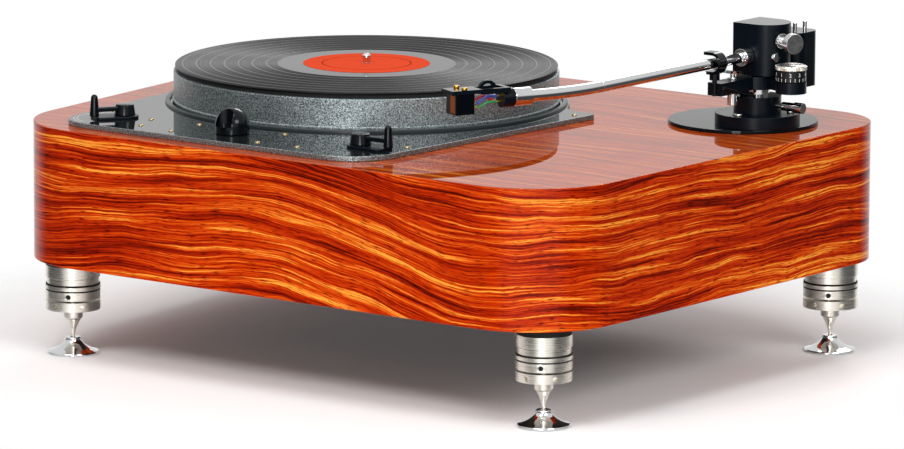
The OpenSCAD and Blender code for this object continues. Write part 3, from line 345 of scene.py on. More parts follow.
@dataclass(frozen=True)
class SpunFace(Finish):
    """Aluminium faced on a lathe: concentric marks about an axis through a given centre."""

    centre: Point3 = (0.0, 0.0, 0.0)
    ring_mm: float = 0.5

    def draw(self, tree: Tree, where: Socket) -> Feeds:
        """Draws rings by the distance from the centre."""
        centre = tuple(c * MM for c in self.centre)
        far = add(tree, "VectorMath", {0: where, 1: centre}, operation="DISTANCE")["Value"]
        turns = add(tree, "Math", {0: far, 1: 2 * math.pi / (self.ring_mm * MM)}, operation="MULTIPLY")[0]
        rings = add(tree, "Math", {0: turns}, operation="SINE")[0]
        return {"Normal": add(tree, "Bump", {"Height": rings, "Strength": 0.3, "Distance": 0.0002})["Normal"]}


@dataclass(frozen=True)
class RecordVinyl(Finish):
    """Pressed black vinyl: grooves round the pin, smoother gaps between the tracks painted a lighter grey as a
    painted sheen, a flat run-out.
    """

    separators: tuple[float, ...] = (79.0, 90.0, 101.0, 112.0, 123.0, 134.0, 144.8)
    stretch: float = 0.95
    gloss: float = 0.08

    def draw(self, tree: Tree, where: Socket) -> Feeds:
        """Draws grooves as radial bump, coarser than the real 0.1 mm so that they show."""
        far = from_spindle(tree, where)
        cut = add(tree, "MapRange", {"Value": far, "From Min": 0.0695, "From Max": 0.0705})["Result"]
        spot = add(tree, "CombineXYZ", {"X": far})[0]
        tracks = add(tree, "TexNoise", {"Vector": spot, "Scale": 700.0, "Detail": 3.0})["Fac"]
        gaps: Socket | None = None
        for radius in self.separators:
            near = add(tree, "Math", {0: far, 1: radius * MM, 2: 0.0004}, operation="COMPARE")[0]
            gaps = near if gaps is None else add(tree, "Math", {0: gaps, 1: near}, operation="MAXIMUM")[0]
        rough = add(tree, "MapRange", {"Value": tracks, "From Min": 0.3, "From Max": 0.7, "To Min": 0.36,
                                       "To Max": 0.5})["Result"]
        smooth = add(tree, "Mix", {"Factor": gaps, 2: rough, 3: self.gloss}, data_type="FLOAT")[0]
        final = add(tree, "Mix", {"Factor": cut, 2: self.gloss, 3: smooth}, data_type="FLOAT")[0]
        height = add(tree, "Math", {0: tracks, 1: cut}, operation="MULTIPLY")[0]
        bump = add(tree, "Bump", {"Height": height, "Strength": 0.08, "Distance": 0.0005})["Normal"]
        # The gaps are painted a lighter grey as a painted sheen, on top of their real lower roughness
        black_with_painted_gap_sheen = add(tree, "Mix", {"Factor": gaps, MIX_A: linear(self.colour), MIX_B: linear("#2a2a2b")},
                   data_type="RGBA")[MIXED]
        around = add(tree, "Tangent", direction_type="RADIAL", axis="Z")[0]
        return {"Base Color": black_with_painted_gap_sheen, "Roughness": final, "Normal": bump, "Tangent": around,
                "Anisotropic": self.stretch, "Anisotropic Rotation": 0.25}


@dataclass(frozen=True)
class LabelPaper(Finish):
    """Uncoated printed paper: plain colour with fibres and a thin darker ring."""

    def draw(self, tree: Tree, where: Socket) -> Feeds:
        """Draws the fibres and a faint ring."""
        fibres = add(tree, "TexNoise", {"Vector": where, "Scale": 1500.0, "Detail": 3.0})["Fac"]
        colour = add(tree, "ValToRGB", {"Fac": fibres}, ((0.3, "#d9492a"), (0.7, self.colour)))["Color"]
        ring = add(tree, "Math", {0: from_spindle(tree, where), 1: 0.035, 2: 0.0008}, operation="COMPARE")[0]
        return {"Base Color": add(tree, "Mix", {"Factor": ring, MIX_A: colour, MIX_B: linear("#b83a1e")},
                                  data_type="RGBA")[MIXED]}


@dataclass(frozen=True)
class Rubber(Finish):
    """Moulded black rubber: matt, with a fine grain."""

    def draw(self, tree: Tree, where: Socket) -> Feeds:
        """Draws the grain as bump."""
        grain = add(tree, "TexNoise", {"Vector": where, "Scale": 900.0, "Detail": 3.0})["Fac"]
        return {"Normal": add(tree, "Bump", {"Height": grain, "Strength": 0.25, "Distance": 0.0004})["Normal"]}


# Rosewood veneer, stained, sanded and lacquered: deep orange-red with dark streaks, the lacquer a clear mirror
ROSEWOOD = LacqueredRosewood("lacquered_rosewood", "#b83008", 0.5, specular=0.0, coat=1.0, coat_ior=1.2,
                             coat_roughness=0.012)
# Hammer enamel on cast iron: a speckled grey whose metal flakes glint in the light
HAMMER = HammerEnamel("grey_hammer_enamel", "#7a8385", 0.4, metallic=0.75, specular=0.3)
# The same enamel flatted and varnished: dark grey, a clear mirror when seen along it
VARNISHED = HammerEnamel("varnished_hammer_enamel", "#15191b", 0.5, specular=0.0, coat=1.0, coat_ior=1.42,
                         coat_roughness=0.02, dark="#0b0e0f", bright="#23292b", depth=0.0)
# Plain enamel on the raised rim: dark smooth grey with a soft sheen
RIM_GREY = Finish("smooth_grey_enamel", "#2a3133", 0.3, specular=0.3)
# Phenolic moulded in a polished tool: near black with small sharp glints
MOULDED_BLACK = Finish("gloss_black_phenolic", "#03070c", 0.13, specular=0.22)
# Stoved black enamel on turned aluminium: near black with a broad soft sheen
BLACK_ENAMEL = Finish("black_stove_enamel", "#050c14", 0.31, specular=0.14)
# The same enamel polished: near black from above, a mirror when seen along it
BLACK_MIRROR = Finish("polished_black_enamel", "#090d11", 0.06, specular=0.12)
# The same enamel buffed on a flat top: a pale sheen when seen along it
BLACK_BUFFED = Finish("buffed_black_enamel", "#0a0d10", 0.12, specular=0.6)
# Black anodised aluminium: matt black with a grey sheen
BLACK_SATIN = Finish("satin_black_anodised", "#0d0f12", 0.42, specular=0.3)
# Chrome plate, polished: a dark and bright mirror of the room
CHROME = Finish("polished_chrome", "#d9dadb", 0.05, metallic=1.0)
# Stainless steel turned on a lathe: pale warm grey with lines of light
STEEL = TurnedMetal("turned_stainless_steel", "#e4e0d6", 0.27, metallic=1.0)
# Aluminium, machined and left bare: pale cool grey
ALUMINIUM = TurnedMetal("machined_aluminium", "#d0d0d1", 0.26, metallic=1.0, grain=Grain.PLAIN)
# Nickelled brass: muted pale yellow
BRASS = Finish("nickelled_brass", "#b3a078", 0.28, metallic=1.0)
# Gold plate on contacts and small screws: warm yellow with sharp glints
GOLD = Finish("bright_gold_plate", "#dba63c", 0.16, metallic=1.0)
# Copper sheet, brushed: orange with a soft sheen
COPPER = Finish("brushed_copper", "#c86a2c", 0.3, metallic=1.0)
# Pressed vinyl: black, its grooves draw light out into streaks across the disc
VINYL = RecordVinyl("pressed_vinyl", "#060608", 0.2, specular=0.17)
# Uncoated label paper: flat salmon red
PAPER = LabelPaper("uncoated_label_paper", "#ea5638", 0.7, specular=0.0)
# Moulded rubber: matt black with a fine grain
RUBBER = Rubber("grained_black_rubber", "#0e0e0e", 0.7, specular=0.3)
# Stained plywood: flat dark brown
PLYWOOD = Finish("stained_plywood", "#2c2119", 0.6)
# Grey enamel on the motor: plain and even
MOTOR_GREY = Finish("motor_grey_enamel", "#5d6163", 0.4)
# Screen ink: flat white
WHITE_INK = Finish("white_ink", "#e6e6e2", 0.5)
# Line filled with pale enamel in the plate
PALE_LINE = Finish("pale_line_enamel", "#c9cbc6", 0.4)
# Sleeves of the four signal leads: soft plastic in the usual colours
WIRE_WHITE = Finish("white_wire_sleeve", "#e4e1db", 0.45)
WIRE_RED = Finish("red_wire_sleeve", "#b81c3c", 0.45)
WIRE_BLUE = Finish("blue_wire_sleeve", "#2346a8", 0.45)
WIRE_GREEN = Finish("green_wire_sleeve", "#1f8a46", 0.45)


class Bench:
    """Modelling steps shared by the sub-assemblies, each made with Blender's own operators."""

    nodes: dict[str, Piece] = {}

    @staticmethod
    def clear() -> None:
        """Deselects everything in object mode."""
        if bpy.context.object and bpy.context.object.mode != "OBJECT":
            bpy.ops.object.mode_set(mode="OBJECT")
        bpy.ops.object.select_all(action="DESELECT")

    @classmethod
    def pick(cls, *objs: Piece) -> None:
        """Selects the objects and makes the last one active."""
        cls.clear()
        for obj in objs:
            obj.select_set(True)
        bpy.context.view_layer.objects.active = objs[-1]

    @classmethod
    def chain(cls, name: str, points: Sequence[Point3]) -> Piece:
        """Draws a chain of edges through points and stays in edit mode.

        Args:
            name: Name of the new object.
            points: Points in millimetres.

        Returns:
            The new object, in edit mode with its last vertex selected.
        """
        cls.clear()
        bpy.ops.mesh.primitive_plane_add(size=MM, location=(0, 0, 0))
        obj = bpy.context.object
        obj.name = name
        bpy.ops.object.mode_set(mode="EDIT")
        bpy.ops.mesh.select_mode(type="VERT")
        bpy.ops.mesh.select_all(action="SELECT")
        bpy.ops.mesh.merge(type="CENTER")
        bpy.ops.transform.translate(value=Vector(points[0]) * MM)
        for before, after in zip(points, points[1:]):
            step = (Vector(after) - Vector(before)) * MM
            bpy.ops.mesh.extrude_vertices_move(TRANSFORM_OT_translate={"value": step})
        return obj

    @staticmethod
    def close_up() -> None:
        """Merges doubles, turns faces outwards and leaves edit mode."""
        bpy.ops.mesh.select_all(action="SELECT")
        bpy.ops.mesh.remove_doubles(threshold=MERGE)
        bpy.ops.mesh.normals_make_consistent(inside=False)
        bpy.ops.object.mode_set(mode="OBJECT")

    @classmethod
    def lathe(cls, name: str, profile: Sequence[Point2], at: Point3 = (0, 0, 0), axis: Axis = Axis.UP,
              heading: float = 0.0, steps: int = 96) -> Piece:
        """Turns a profile about its axis.

        Args:
            name: Name of the piece.
            profile: Radius and height pairs in millimetres, from axis to axis or as a closed ring.
            at: Where the profile's zero goes, in millimetres.
            axis: Which way the piece's axis points.
            heading: Turn about Z after that, in degrees.
            steps: Facets round the axis.

        Returns:
            The piece, at the origin with its place in its mesh.
        """
        obj = cls.chain(name, [(r, 0.0, z) for r, z in profile])
        bpy.ops.mesh.select_all(action="SELECT")
        bpy.ops.mesh.spin(steps=steps, dupli=False, angle=2 * math.pi, center=(0, 0, 0), axis=(0, 0, 1))
        cls.close_up()
        lean = {Axis.UP: Matrix.Identity(4), Axis.ALONG_X: Matrix.Rotation(math.pi / 2, 4, "Y"),
                Axis.ALONG_Y: Matrix.Rotation(-math.pi / 2, 4, "X")}[axis]
        cls.settle(obj, Matrix.Translation(Vector(at) * MM) @ turned(math.radians(heading)) @ lean)
        return obj

    @classmethod
    def slab(cls, name: str, outline: Sequence[Point2], low: float, high: float) -> Piece:
        """Extrudes an outline upwards.

        Args:
            name: Name of the piece.
            outline: Corners in millimetres, in order.
            low: Underside in millimetres.
            high: Top in millimetres.

        Returns:
            The piece as a closed prism.
        """
        obj = cls.chain(name, [(x, y, low) for x, y in outline])
        bpy.ops.mesh.select_all(action="SELECT")
        bpy.ops.mesh.edge_face_add()
        bpy.ops.mesh.extrude_region_move(TRANSFORM_OT_translate={"value": (0, 0, (high - low) * MM)})
        cls.close_up()
        return obj

    @classmethod
    def block(cls, name: str, low: Point3, high: Point3) -> Piece:
        """Makes a box between two corners, ready to be shaped."""
        return cls.slab(name, [(low[0], low[1]), (high[0], low[1]), (high[0], high[1]), (low[0], high[1])],
                        low[2], high[2])

    @classmethod
    def peg(cls, centre: Point2, radius: float, low: float, high: float, count: int = 48) -> Piece:
        """Makes an upright round cutter between two heights."""
        return cls.slab("peg", circle(centre, radius, count), low, high)

    @classmethod
    def settle(cls, obj: Piece, matrix: Matrix) -> None:
        """Moves a piece and puts its place in its mesh."""
        obj.matrix_world = matrix
        cls.pick(obj)
        bpy.ops.object.transform_apply(location=True, rotation=True, scale=True)

    @classmethod
    def ease(cls, obj: Piece, width: float, segments: int = 2, angle: float = 35.0) -> Piece:
        """Rounds the edges that are sharper than an angle.

        Args:
            obj: Piece to round.
            width: Width of the round in millimetres.
            segments: Facets across the round.
            angle: Smallest edge angle to round, in degrees.

        Returns:
            The same piece.
        """
        mod = obj.modifiers.new("eased", "BEVEL")
        mod.width = width * MM
        mod.segments = segments
        mod.limit_method = "ANGLE"
        mod.angle_limit = math.radians(angle)
        cls.pick(obj)
        bpy.ops.object.modifier_apply(modifier=mod.name)
        return obj

    @classmethod
    def carve(cls, obj: Piece, *cutters: Piece) -> Piece:
        """Cuts the cutters out of a piece and removes them."""
        for cutter in cutters:
            mod = obj.modifiers.new("carved", "BOOLEAN")
            mod.operation = "DIFFERENCE"
            mod.solver = "EXACT"
            mod.object = cutter
            cls.pick(obj)
            bpy.ops.object.modifier_apply(modifier=mod.name)
            cls.pick(cutter)
            bpy.ops.object.delete()
        return obj

    @classmethod
    def join(cls, name: str, *objs: Piece) -> Piece:
        """Joins pieces of one part into one object."""
        cls.pick(*objs)
        bpy.ops.object.join()
        bpy.context.object.name = name
        return bpy.context.object

    @classmethod
    def tube(cls, name: str, points: Sequence[Point3], radius: float) -> Piece:
        """Runs a round section along points.

        Args:
            name: Name of the piece.
            points: Middle line in millimetres.
            radius: Radius of the section in millimetres.

        Returns:
            The piece as a closed mesh.
        """
        cls.pick(cls.chain(name, points))
        bpy.ops.object.convert(target="CURVE")
        line = bpy.context.object.data
        line.bevel_depth = radius * MM
        line.bevel_resolution = 3
        line.use_fill_caps = True
        bpy.ops.object.convert(target="MESH")
        obj = bpy.context.object
        bpy.ops.object.mode_set(mode="EDIT")
        cls.close_up()
        obj.name = name
        return obj

    @classmethod
    def figure(cls, text: str, height: float) -> Piece:
        """Makes plain figures as a thin mesh, upright and facing +X.

        Args:
            text: The figures.
            height: Their height in millimetres.

        Returns:
            The mesh, centred on its foot at the origin.
        """
        cls.clear()
        bpy.ops.object.text_add(location=(0, 0, 0))
        obj = bpy.context.object
        obj.data.body = text
        obj.data.align_x = "CENTER"
        obj.data.size = height / FIGURE_SHARE * MM
        obj.data.resolution_u = 3
        obj.data.extrude = 0.03 * MM
        bpy.ops.object.convert(target="MESH")
        obj = bpy.context.object
        cls.settle(obj, turned(math.pi / 2) @ Matrix.Rotation(math.pi / 2, 4, "X"))
        return obj

    @classmethod
    def repeat(cls, name: str, obj: Piece, places: Sequence[Matrix]) -> Piece:
        """Copies a piece to each place, removes the first one and joins the copies.

        Args:
            name: Name of the joined piece.
            obj: Piece at the origin.
            places: Where the copies go.

        Returns:
            The joined piece.
        """
        copies = []
        for place in places:
            cls.pick(obj)
            bpy.ops.object.duplicate(linked=False)
            copies.append(bpy.context.object)
            cls.settle(copies[-1], place)
        cls.pick(obj)
        bpy.ops.object.delete()
        return cls.join(name, *copies)

    @classmethod
    def copy_node(cls, node: str, name: str, width: float) -> Piece:
        """Copies a CAD node's mesh, merges its triangles and rounds its edges.

        Args:
            node: CAD node to copy.
            name: Name of the new piece.
            width: Width of the round in millimetres, or 0 for none.

        Returns:
            The new piece, at the origin.
        """
        cls.pick(cls.nodes[node])
        bpy.ops.object.duplicate(linked=False)
        obj = bpy.context.object
        bpy.ops.object.parent_clear(type="CLEAR_KEEP_TRANSFORM")
        obj.name = name
        bpy.ops.mesh.customdata_custom_splitnormals_clear()
        bpy.ops.object.mode_set(mode="EDIT")
        bpy.ops.mesh.select_all(action="SELECT")
        bpy.ops.mesh.remove_doubles(threshold=MERGE)
        bpy.ops.mesh.dissolve_limited(angle_limit=math.radians(0.8))
        bpy.ops.object.mode_set(mode="OBJECT")
        if width > 0:
            cls.ease(obj, width)
        return obj

    @classmethod
    def dress(cls, obj: Piece, body: str, finish: Finish, slot: str, stands_for: Iterable[str] = (),
              angle: float = 30.0) -> Piece:
        """Shades a new piece, gives it its finish and lets it ride on its body.

        Args:
            obj: The piece.
            body: CAD body that carries it.
            finish: Its finish.
            slot: The record's material slot; not used.
            stands_for: CAD nodes that the piece replaces.
            angle: Edges below this angle are shaded smooth, in degrees.

        Returns:
            The same piece.
        """
        cls.pick(obj)
        bpy.ops.object.shade_smooth_by_angle(angle=math.radians(angle))
        mod = obj.modifiers.new("flat_faces_lead", "WEIGHTED_NORMAL")
        mod.keep_sharp = True
        bpy.ops.object.modifier_apply(modifier=mod.name)
        obj.data.materials.clear()
        obj.data.materials.append(finish.material())
        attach(obj, body)
        for node in stands_for:
            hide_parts(node)
        LOG.info("%s rides on %s", obj.name, body)
        return obj

    @classmethod
    def recast(cls, node: str, name: str, width: float, finish: Finish, slot: str, body: str) -> Piece:
        """Dresses an eased copy of a CAD node in that node's place.

        Args:
            node: CAD node to copy and replace.
            name: Name of the copy.
            width: Width of the round on its edges in millimetres.
            finish: Its finish.
            slot: The record's material slot, passed on to dress, which does not use it.
            body: CAD body that carries it.

        Returns:
            The dressed copy.
        """
        return cls.dress(cls.copy_node(node, name, width), body, finish, slot, [node])

    @staticmethod
    def cap(obj: Piece, finish: Finish, least: float = 0.95) -> None:
        """Gives the faces that look up a second finish.

        Args:
            obj: Piece that has its first finish.
            finish: Finish of its upper faces.
            least: Smallest upward part of such a face's normal.
        """
        obj.data.materials.append(finish.material())
        for face in obj.data.polygons:
            if face.normal.z > least:
                face.material_index = 1

    @classmethod
    def paint_node(cls, node: str, finish: Finish) -> None:
        """Gives a carried-over CAD node its finish."""
        data = cls.nodes[node].data
        data.materials.clear()
        data.materials.append(finish.material())


def arc(centre: Point2, radius: float, start: float, end: float, steps: int) -> list[Point2]:
    """Returns points on an arc.

    Args:
        centre: Centre in millimetres.
        radius: Radius in millimetres.
        start: First angle in degrees.
        end: Last angle in degrees.
        steps: Number of chords.

    Returns:
        steps + 1 points.
    """
    angles = [math.radians(start + (end - start) * i / steps) for i in range(steps + 1)]
    return [(centre[0] + radius * math.cos(a), centre[1] + radius * math.sin(a)) for a in angles]


def circle(centre: Point2, radius: float, count: int) -> list[Point2]:
    """Returns a number of points evenly round a circle."""
    return arc(centre, radius, 0, 360 * (count - 1) / count, count - 1)


def turned(angle: float) -> Matrix:
    """Returns a turn about Z by an angle in radians."""
    return Matrix.Rotation(angle, 4, "Z")


def round_outline(corners: Sequence[tuple[float, float, float]], steps: int = 24) -> list[Point2]:
    """Returns the outline round circles, taken anticlockwise.

    Args:
        corners: Centre x, centre y and radius of each corner.
        steps: Chords in each corner.

    Returns:
        Points of the outline.
    """
    count = len(corners)
    normals = []
    for i, (ax, ay, ar) in enumerate(corners):
        bx, by, br = corners[(i + 1) % count]
        length = math.hypot(bx - ax, by - ay)
        lean = math.asin((ar - br) / length)
        normals.append(math.degrees(math.atan2(by - ay, bx - ax) - math.pi / 2 + lean))
    points: list[Point2] = []
    for i, (x, y, r) in enumerate(corners):
        first, last = normals[i - 1], normals[i]
        points += arc((x, y), r, first, first + (last - first) % 360, steps)
    return points


def splay_x(y: float) -> float:
    """Returns x of the line through the plinth's left corner centres at a given y."""
    return -218.5 + (158.0 - y) * math.tan(SPLAY)


@dataclass
class Plinth:
    """Veneered box with round corners, its base board and the cable glands."""

    corners: tuple[Point3, ...] = ((-175.7, -151.0, 77.0), (218.5, -158.0, 70.0), (230.5, 170.0, 58.0),
                                   (-218.5, 158.0, 70.0))
    wall: float = 45.0
    ledge: float = 38.0
    board: float = 25.0
    base_t: float = 12.0
    edge_r: float = 0.8
    opening_r: float = 142.0

    def outline(self, inset: float) -> list[Point2]:
        """Returns the plan, moved in by an inset."""
        return round_outline([(x, y, r - inset) for x, y, r in self.corners])

    def build(self) -> None:
        """Makes the veneered box and dresses the parts that close it."""
        box = Bench.slab("veneered_plinth", self.outline(0), PLINTH_Z, TOP)
        Bench.ease(box, self.edge_r, 3, 60)
        cavity = Bench.slab("cavity", self.outline(self.wall), PLINTH_Z - 1, TOP - self.board)
        rebate = Bench.slab("rebate", self.outline(self.ledge), PLINTH_Z - 1, PLINTH_Z + self.base_t)
        under, over = TOP - self.board - 1, TOP + 1
        well = Bench.peg(SPINDLE, self.opening_r, under, over, 96)
        corners = [(x, y, 12) for x, y in ((-176, -186), (84, -186), (84, -100), (-176, -100))]
        slot = Bench.slab("slot", round_outline(corners, 8), under, over)
        hole = Bench.peg(ARM, POST_HOLE_R, under, over, 32)
        glands = [Bench.lathe("gland_hole", [(0, 0), (6.62, 0), (6.62, 41), (9.62, 41), (9.62, 47), (0, 47)],
                              (x, 183, PLINTH_Z + 34), Axis.ALONG_Y, steps=32) for x in (60, 120)]
        Bench.carve(box, cavity, rebate, well, slot, hole, *glands)
        Bench.dress(box, "base", ROSEWOOD, "lacquered_wood", ["plinth"])
        Bench.paint_node("base_board", PLYWOOD)
        Bench.recast("cable_glands", "gland_bushes", 0.6, RUBBER, "black_rubber", "base")


@dataclass
class Feet:
    """Four levelling feet: housing with seals, spike with its level ring, and shoe."""

    places: dict[str, Point2] = field(default_factory=lambda: {
        "fl": (-205.198, -188.4), "fr": (252.2, -188.4), "bl": (-248.795, 188.4), "br": (252.2, 188.4)})
    screw_z: float = 47.75
    screw_r: float = 17.6

    def build(self) -> None:
        """Dresses the housings and spikes and adds the set screws."""
        Bench.recast("foot_housings", "foot_rings", 0.35, STEEL, "steel", "base")
        Bench.recast("foot_seals", "foot_rubbers", 0.2, RUBBER, "black_rubber", "base")
        profile = [(0, 0.9), (0.95, 0.9), (0.95, 2.2), (1.7, 2.2), (1.9, 2.0), (1.9, 0), (0, 0)]
        for key, (x, y) in self.places.items():
            body = f"foot_{key}"
            Bench.recast(f"foot_spike_{key}", f"spike_{key}", 0.35, STEEL, "steel", body)
            Bench.recast(f"foot_shoe_{key}", f"shoe_{key}", 0.3, CHROME, "chrome", body)
            for i, turn in enumerate((-60, 60, 180)):
                c, s = math.cos(math.radians(turn)), math.sin(math.radians(turn))
                at = (x + self.screw_r * c, y + self.screw_r * s, self.screw_z)
                screw = Bench.lathe(f"set_screw_{key}_{i}", profile, at, Axis.ALONG_X, turn, 24)
                Bench.dress(screw, "base", BLACK_SATIN, "black_enamel")


@dataclass
class Chassis:
    """Hammer-finished top plate with its raised rim, screws and the drive under the platter."""

    plate_r: float = 160.0
    ear: Point3 = (101.5, 69.5, 5.5)
    fillet_r: float = 28.0
    edge: float = 0.6
    pulley: Point2 = (-97.952, 100.008)
    screws: tuple[Point2, ...] = (
        (-193.0, -152.0), (-98.0, -198.0), (-13.0, -198.0), (24.0, -196.0), (90.0, -145.0),
        (-133.0, -192.0), (-145.0, -165.0), (-99.93, -160.83), (-20.36, -155.13), (98.0, 58.0))

    @staticmethod
    def corner(y: float) -> Point3:
        """Returns centre and radius of a corner on the plate's left side."""
        return splay_x(y) + 5 / math.cos(SPLAY), y, 32.0

    def outline(self) -> list[Point2]:
        """Returns the plate's plan: front corners, ear, hollow, and the round behind the platter."""
        front_l, left_b = self.corner(-180.0), self.corner(13.0)
        front_r = (58.5, -172.0, 40.0)
        ring = round_outline([front_l, front_r, self.ear, left_b], 24)
        top = self.ear[1] + self.ear[2]
        dy = top + self.fillet_r - SPINDLE[1]
        dx = math.sqrt((self.plate_r + self.fillet_r) ** 2 - dy * dy)
        hollow = (SPINDLE[0] + dx, SPINDLE[1] + dy)
        meet = math.degrees(math.atan2(dy, dx))
        right = [p for p in ring[:75] if p[1] < self.ear[1] - 6
                 and math.hypot(p[0] - SPINDLE[0], p[1] - SPINDLE[1]) > self.plate_r]
        ear = arc((self.ear[0], self.ear[1]), self.ear[2], 0, 90, 10)
        curve = arc(hollow, self.fillet_r, 270, 180 + meet, 14)
        # Where the left side meets the round
        x, y, radius = front_l
        lean = (-math.sin(SPLAY), math.cos(SPLAY))
        px = x - radius * math.cos(SPLAY) - SPINDLE[0]
        py = y - radius * math.sin(SPLAY) - SPINDLE[1]
        b = px * lean[0] + py * lean[1]
        far = -b - math.sqrt(b * b - (px * px + py * py - self.plate_r ** 2))
        cross = math.degrees(math.atan2(py + far * lean[1], px + far * lean[0])) % 360
        back = arc(SPINDLE, self.plate_r, meet, cross, 110)
        return right + ear + curve[1:] + back[1:]

    def build(self) -> None:
        """Makes the plate and its rim and dresses screws and drive."""
        plate = Bench.slab("hammered_plate", self.outline(), TOP, PLATE_TOP)
        Bench.ease(plate, self.edge, 3, 50)
        holes = ((SPINDLE, 14.02), (self.pulley, 9.6), (SPEED_HUB, 3.05), (START_HUB, 3.05), (KNOB, 3.05))
        Bench.carve(plate, *[Bench.peg(at, radius, TOP - 1, PLATE_TOP + 1) for at, radius in holes])
        rim = Bench.lathe("raised_rim", [(154.5, -0.5), (154.5, 1.4), (155.1, 2), (157.9, 2), (158.5, 1.4),
                                         (158.5, -0.5), (154.5, -0.5)], (*SPINDLE, PLATE_TOP), steps=192)
        Bench.dress(plate, "base", HAMMER, "hammer_grey", ["chassis_plate"])
        Bench.cap(plate, VARNISHED)
        Bench.dress(rim, "base", RIM_GREY, "hammer_grey")
        middle = self.corner(-180.0)[:2]
        for i, radius in enumerate((28.2, 25.6)):
            line = arc(middle, radius, 120, 262, 40) + arc(middle, radius - 0.7, 262, 120, 40)
            Bench.dress(Bench.slab(f"corner_line_{i}", line, PLATE_TOP - 0.3, PLATE_TOP + 0.06), "base",
                        PALE_LINE, "steel")
        profile = [(0, 1.2), (0.9, 1.12), (1.7, 0.8), (2.2, 0.2), (2.2, -0.3), (0, -0.3)]
        for i, (x, y) in enumerate(self.screws):
            head = Bench.lathe(f"chassis_screw_{i}", profile, (x, y, PLATE_TOP), steps=24)
            cut = Bench.block("slot", (x - 4, y - 0.35, PLATE_TOP + 0.7), (x + 4, y + 0.35, PLATE_TOP + 3))
            Bench.settle(cut, Matrix.Translation((x * MM, y * MM, 0)) @ turned(i * 0.8)
                         @ Matrix.Translation((-x * MM, -y * MM, 0)))
            Bench.carve(head, cut)
            Bench.dress(head, "base", BRASS, "brass_screw", ["chassis_screws"] if i == 0 else ())
        for node, finish in (
                ("main_bearing", STEEL), ("thrust_ball", STEEL), ("motor_bracket", STEEL),
                ("motor_mounts", RUBBER), ("motor_case", MOTOR_GREY), ("idler_arm", STEEL),
                ("idler_wheel", ALUMINIUM), ("idler_tyre", RUBBER), ("motor_pulley", BRASS)):
            Bench.paint_node(node, finish)


@dataclass
class PlatterStack:
    """Platter, mat, record, label and pin, all turned about the spindle."""

    platter_r: float = 151.9
    record_r: float = 150.8

    def build(self) -> None:
        """Turns the rounds and dresses them."""
        r, low, top = self.platter_r, PLATE_TOP + 0.8, PLATTER_TOP
        platter = [(6.02, top), (r - 1.2, top), (r - 0.35, top - 0.35), (r, top - 1.2), (r, low + 3),
                   (r + 0.9, low + 2.2), (r + 0.9, low + 0.6), (r + 0.3, low), (143.9, low), (143.9, top - 6),
                   (18, top - 6), (18, PLATE_TOP + 5), (6.02, PLATE_TOP + 5), (6.02, top)]
        mat = [(4, 0), (148.2, 0), (148.5, 0.3), (148.5, 2.5), (148.2, 2.8), (4, 2.8), (4, 0)]
        r = self.record_r
        disc = [(3.65, 0), (50, 0), (r - 1, 0.25), (r - 0.2, 0.6), (r, 0.95), (r - 0.2, 1.3), (r - 1, 1.7),
                (r - 4, 1.8), (52, 1.75), (50.5, 1.9), (3.65, 1.9), (3.65, 0)]
        label = [(4, 0), (50, 0), (50, 0.12), (49.9, 0.15), (4, 0.15), (4, 0)]
        pin = [(0, 8), (1.2, 7.98), (1.65, 7.8), (3.1, 6.6), (3.3, 6.1), (3.3, 0.45), (3.6, 0.45), (3.6, -4.7),
               (6, -4.7), (6, -25.1), (5, -25.1), (5, -96.25), (0, -96.25)]
        for name, profile, z, steps, finish, slot, node in (
                ("hammered_platter", platter, 0, 192, HAMMER, "hammer_grey", "platter"),
                ("rubber_mat", mat, top, 192, RUBBER, "black_rubber", "platter_mat"),
                ("grooved_record", disc, top + 2.8, 256, VINYL, "vinyl", "record"),
                ("paper_label", label, RECORD_TOP, 128, PAPER, "label_paper", "record_label"),
                ("centre_pin", pin, RECORD_TOP, 48, CHROME, "steel", "spindle_shaft")):
            piece = Bench.lathe(name, profile, (*SPINDLE, z), steps=steps)
            Bench.dress(piece, "platter", finish, slot, [node])


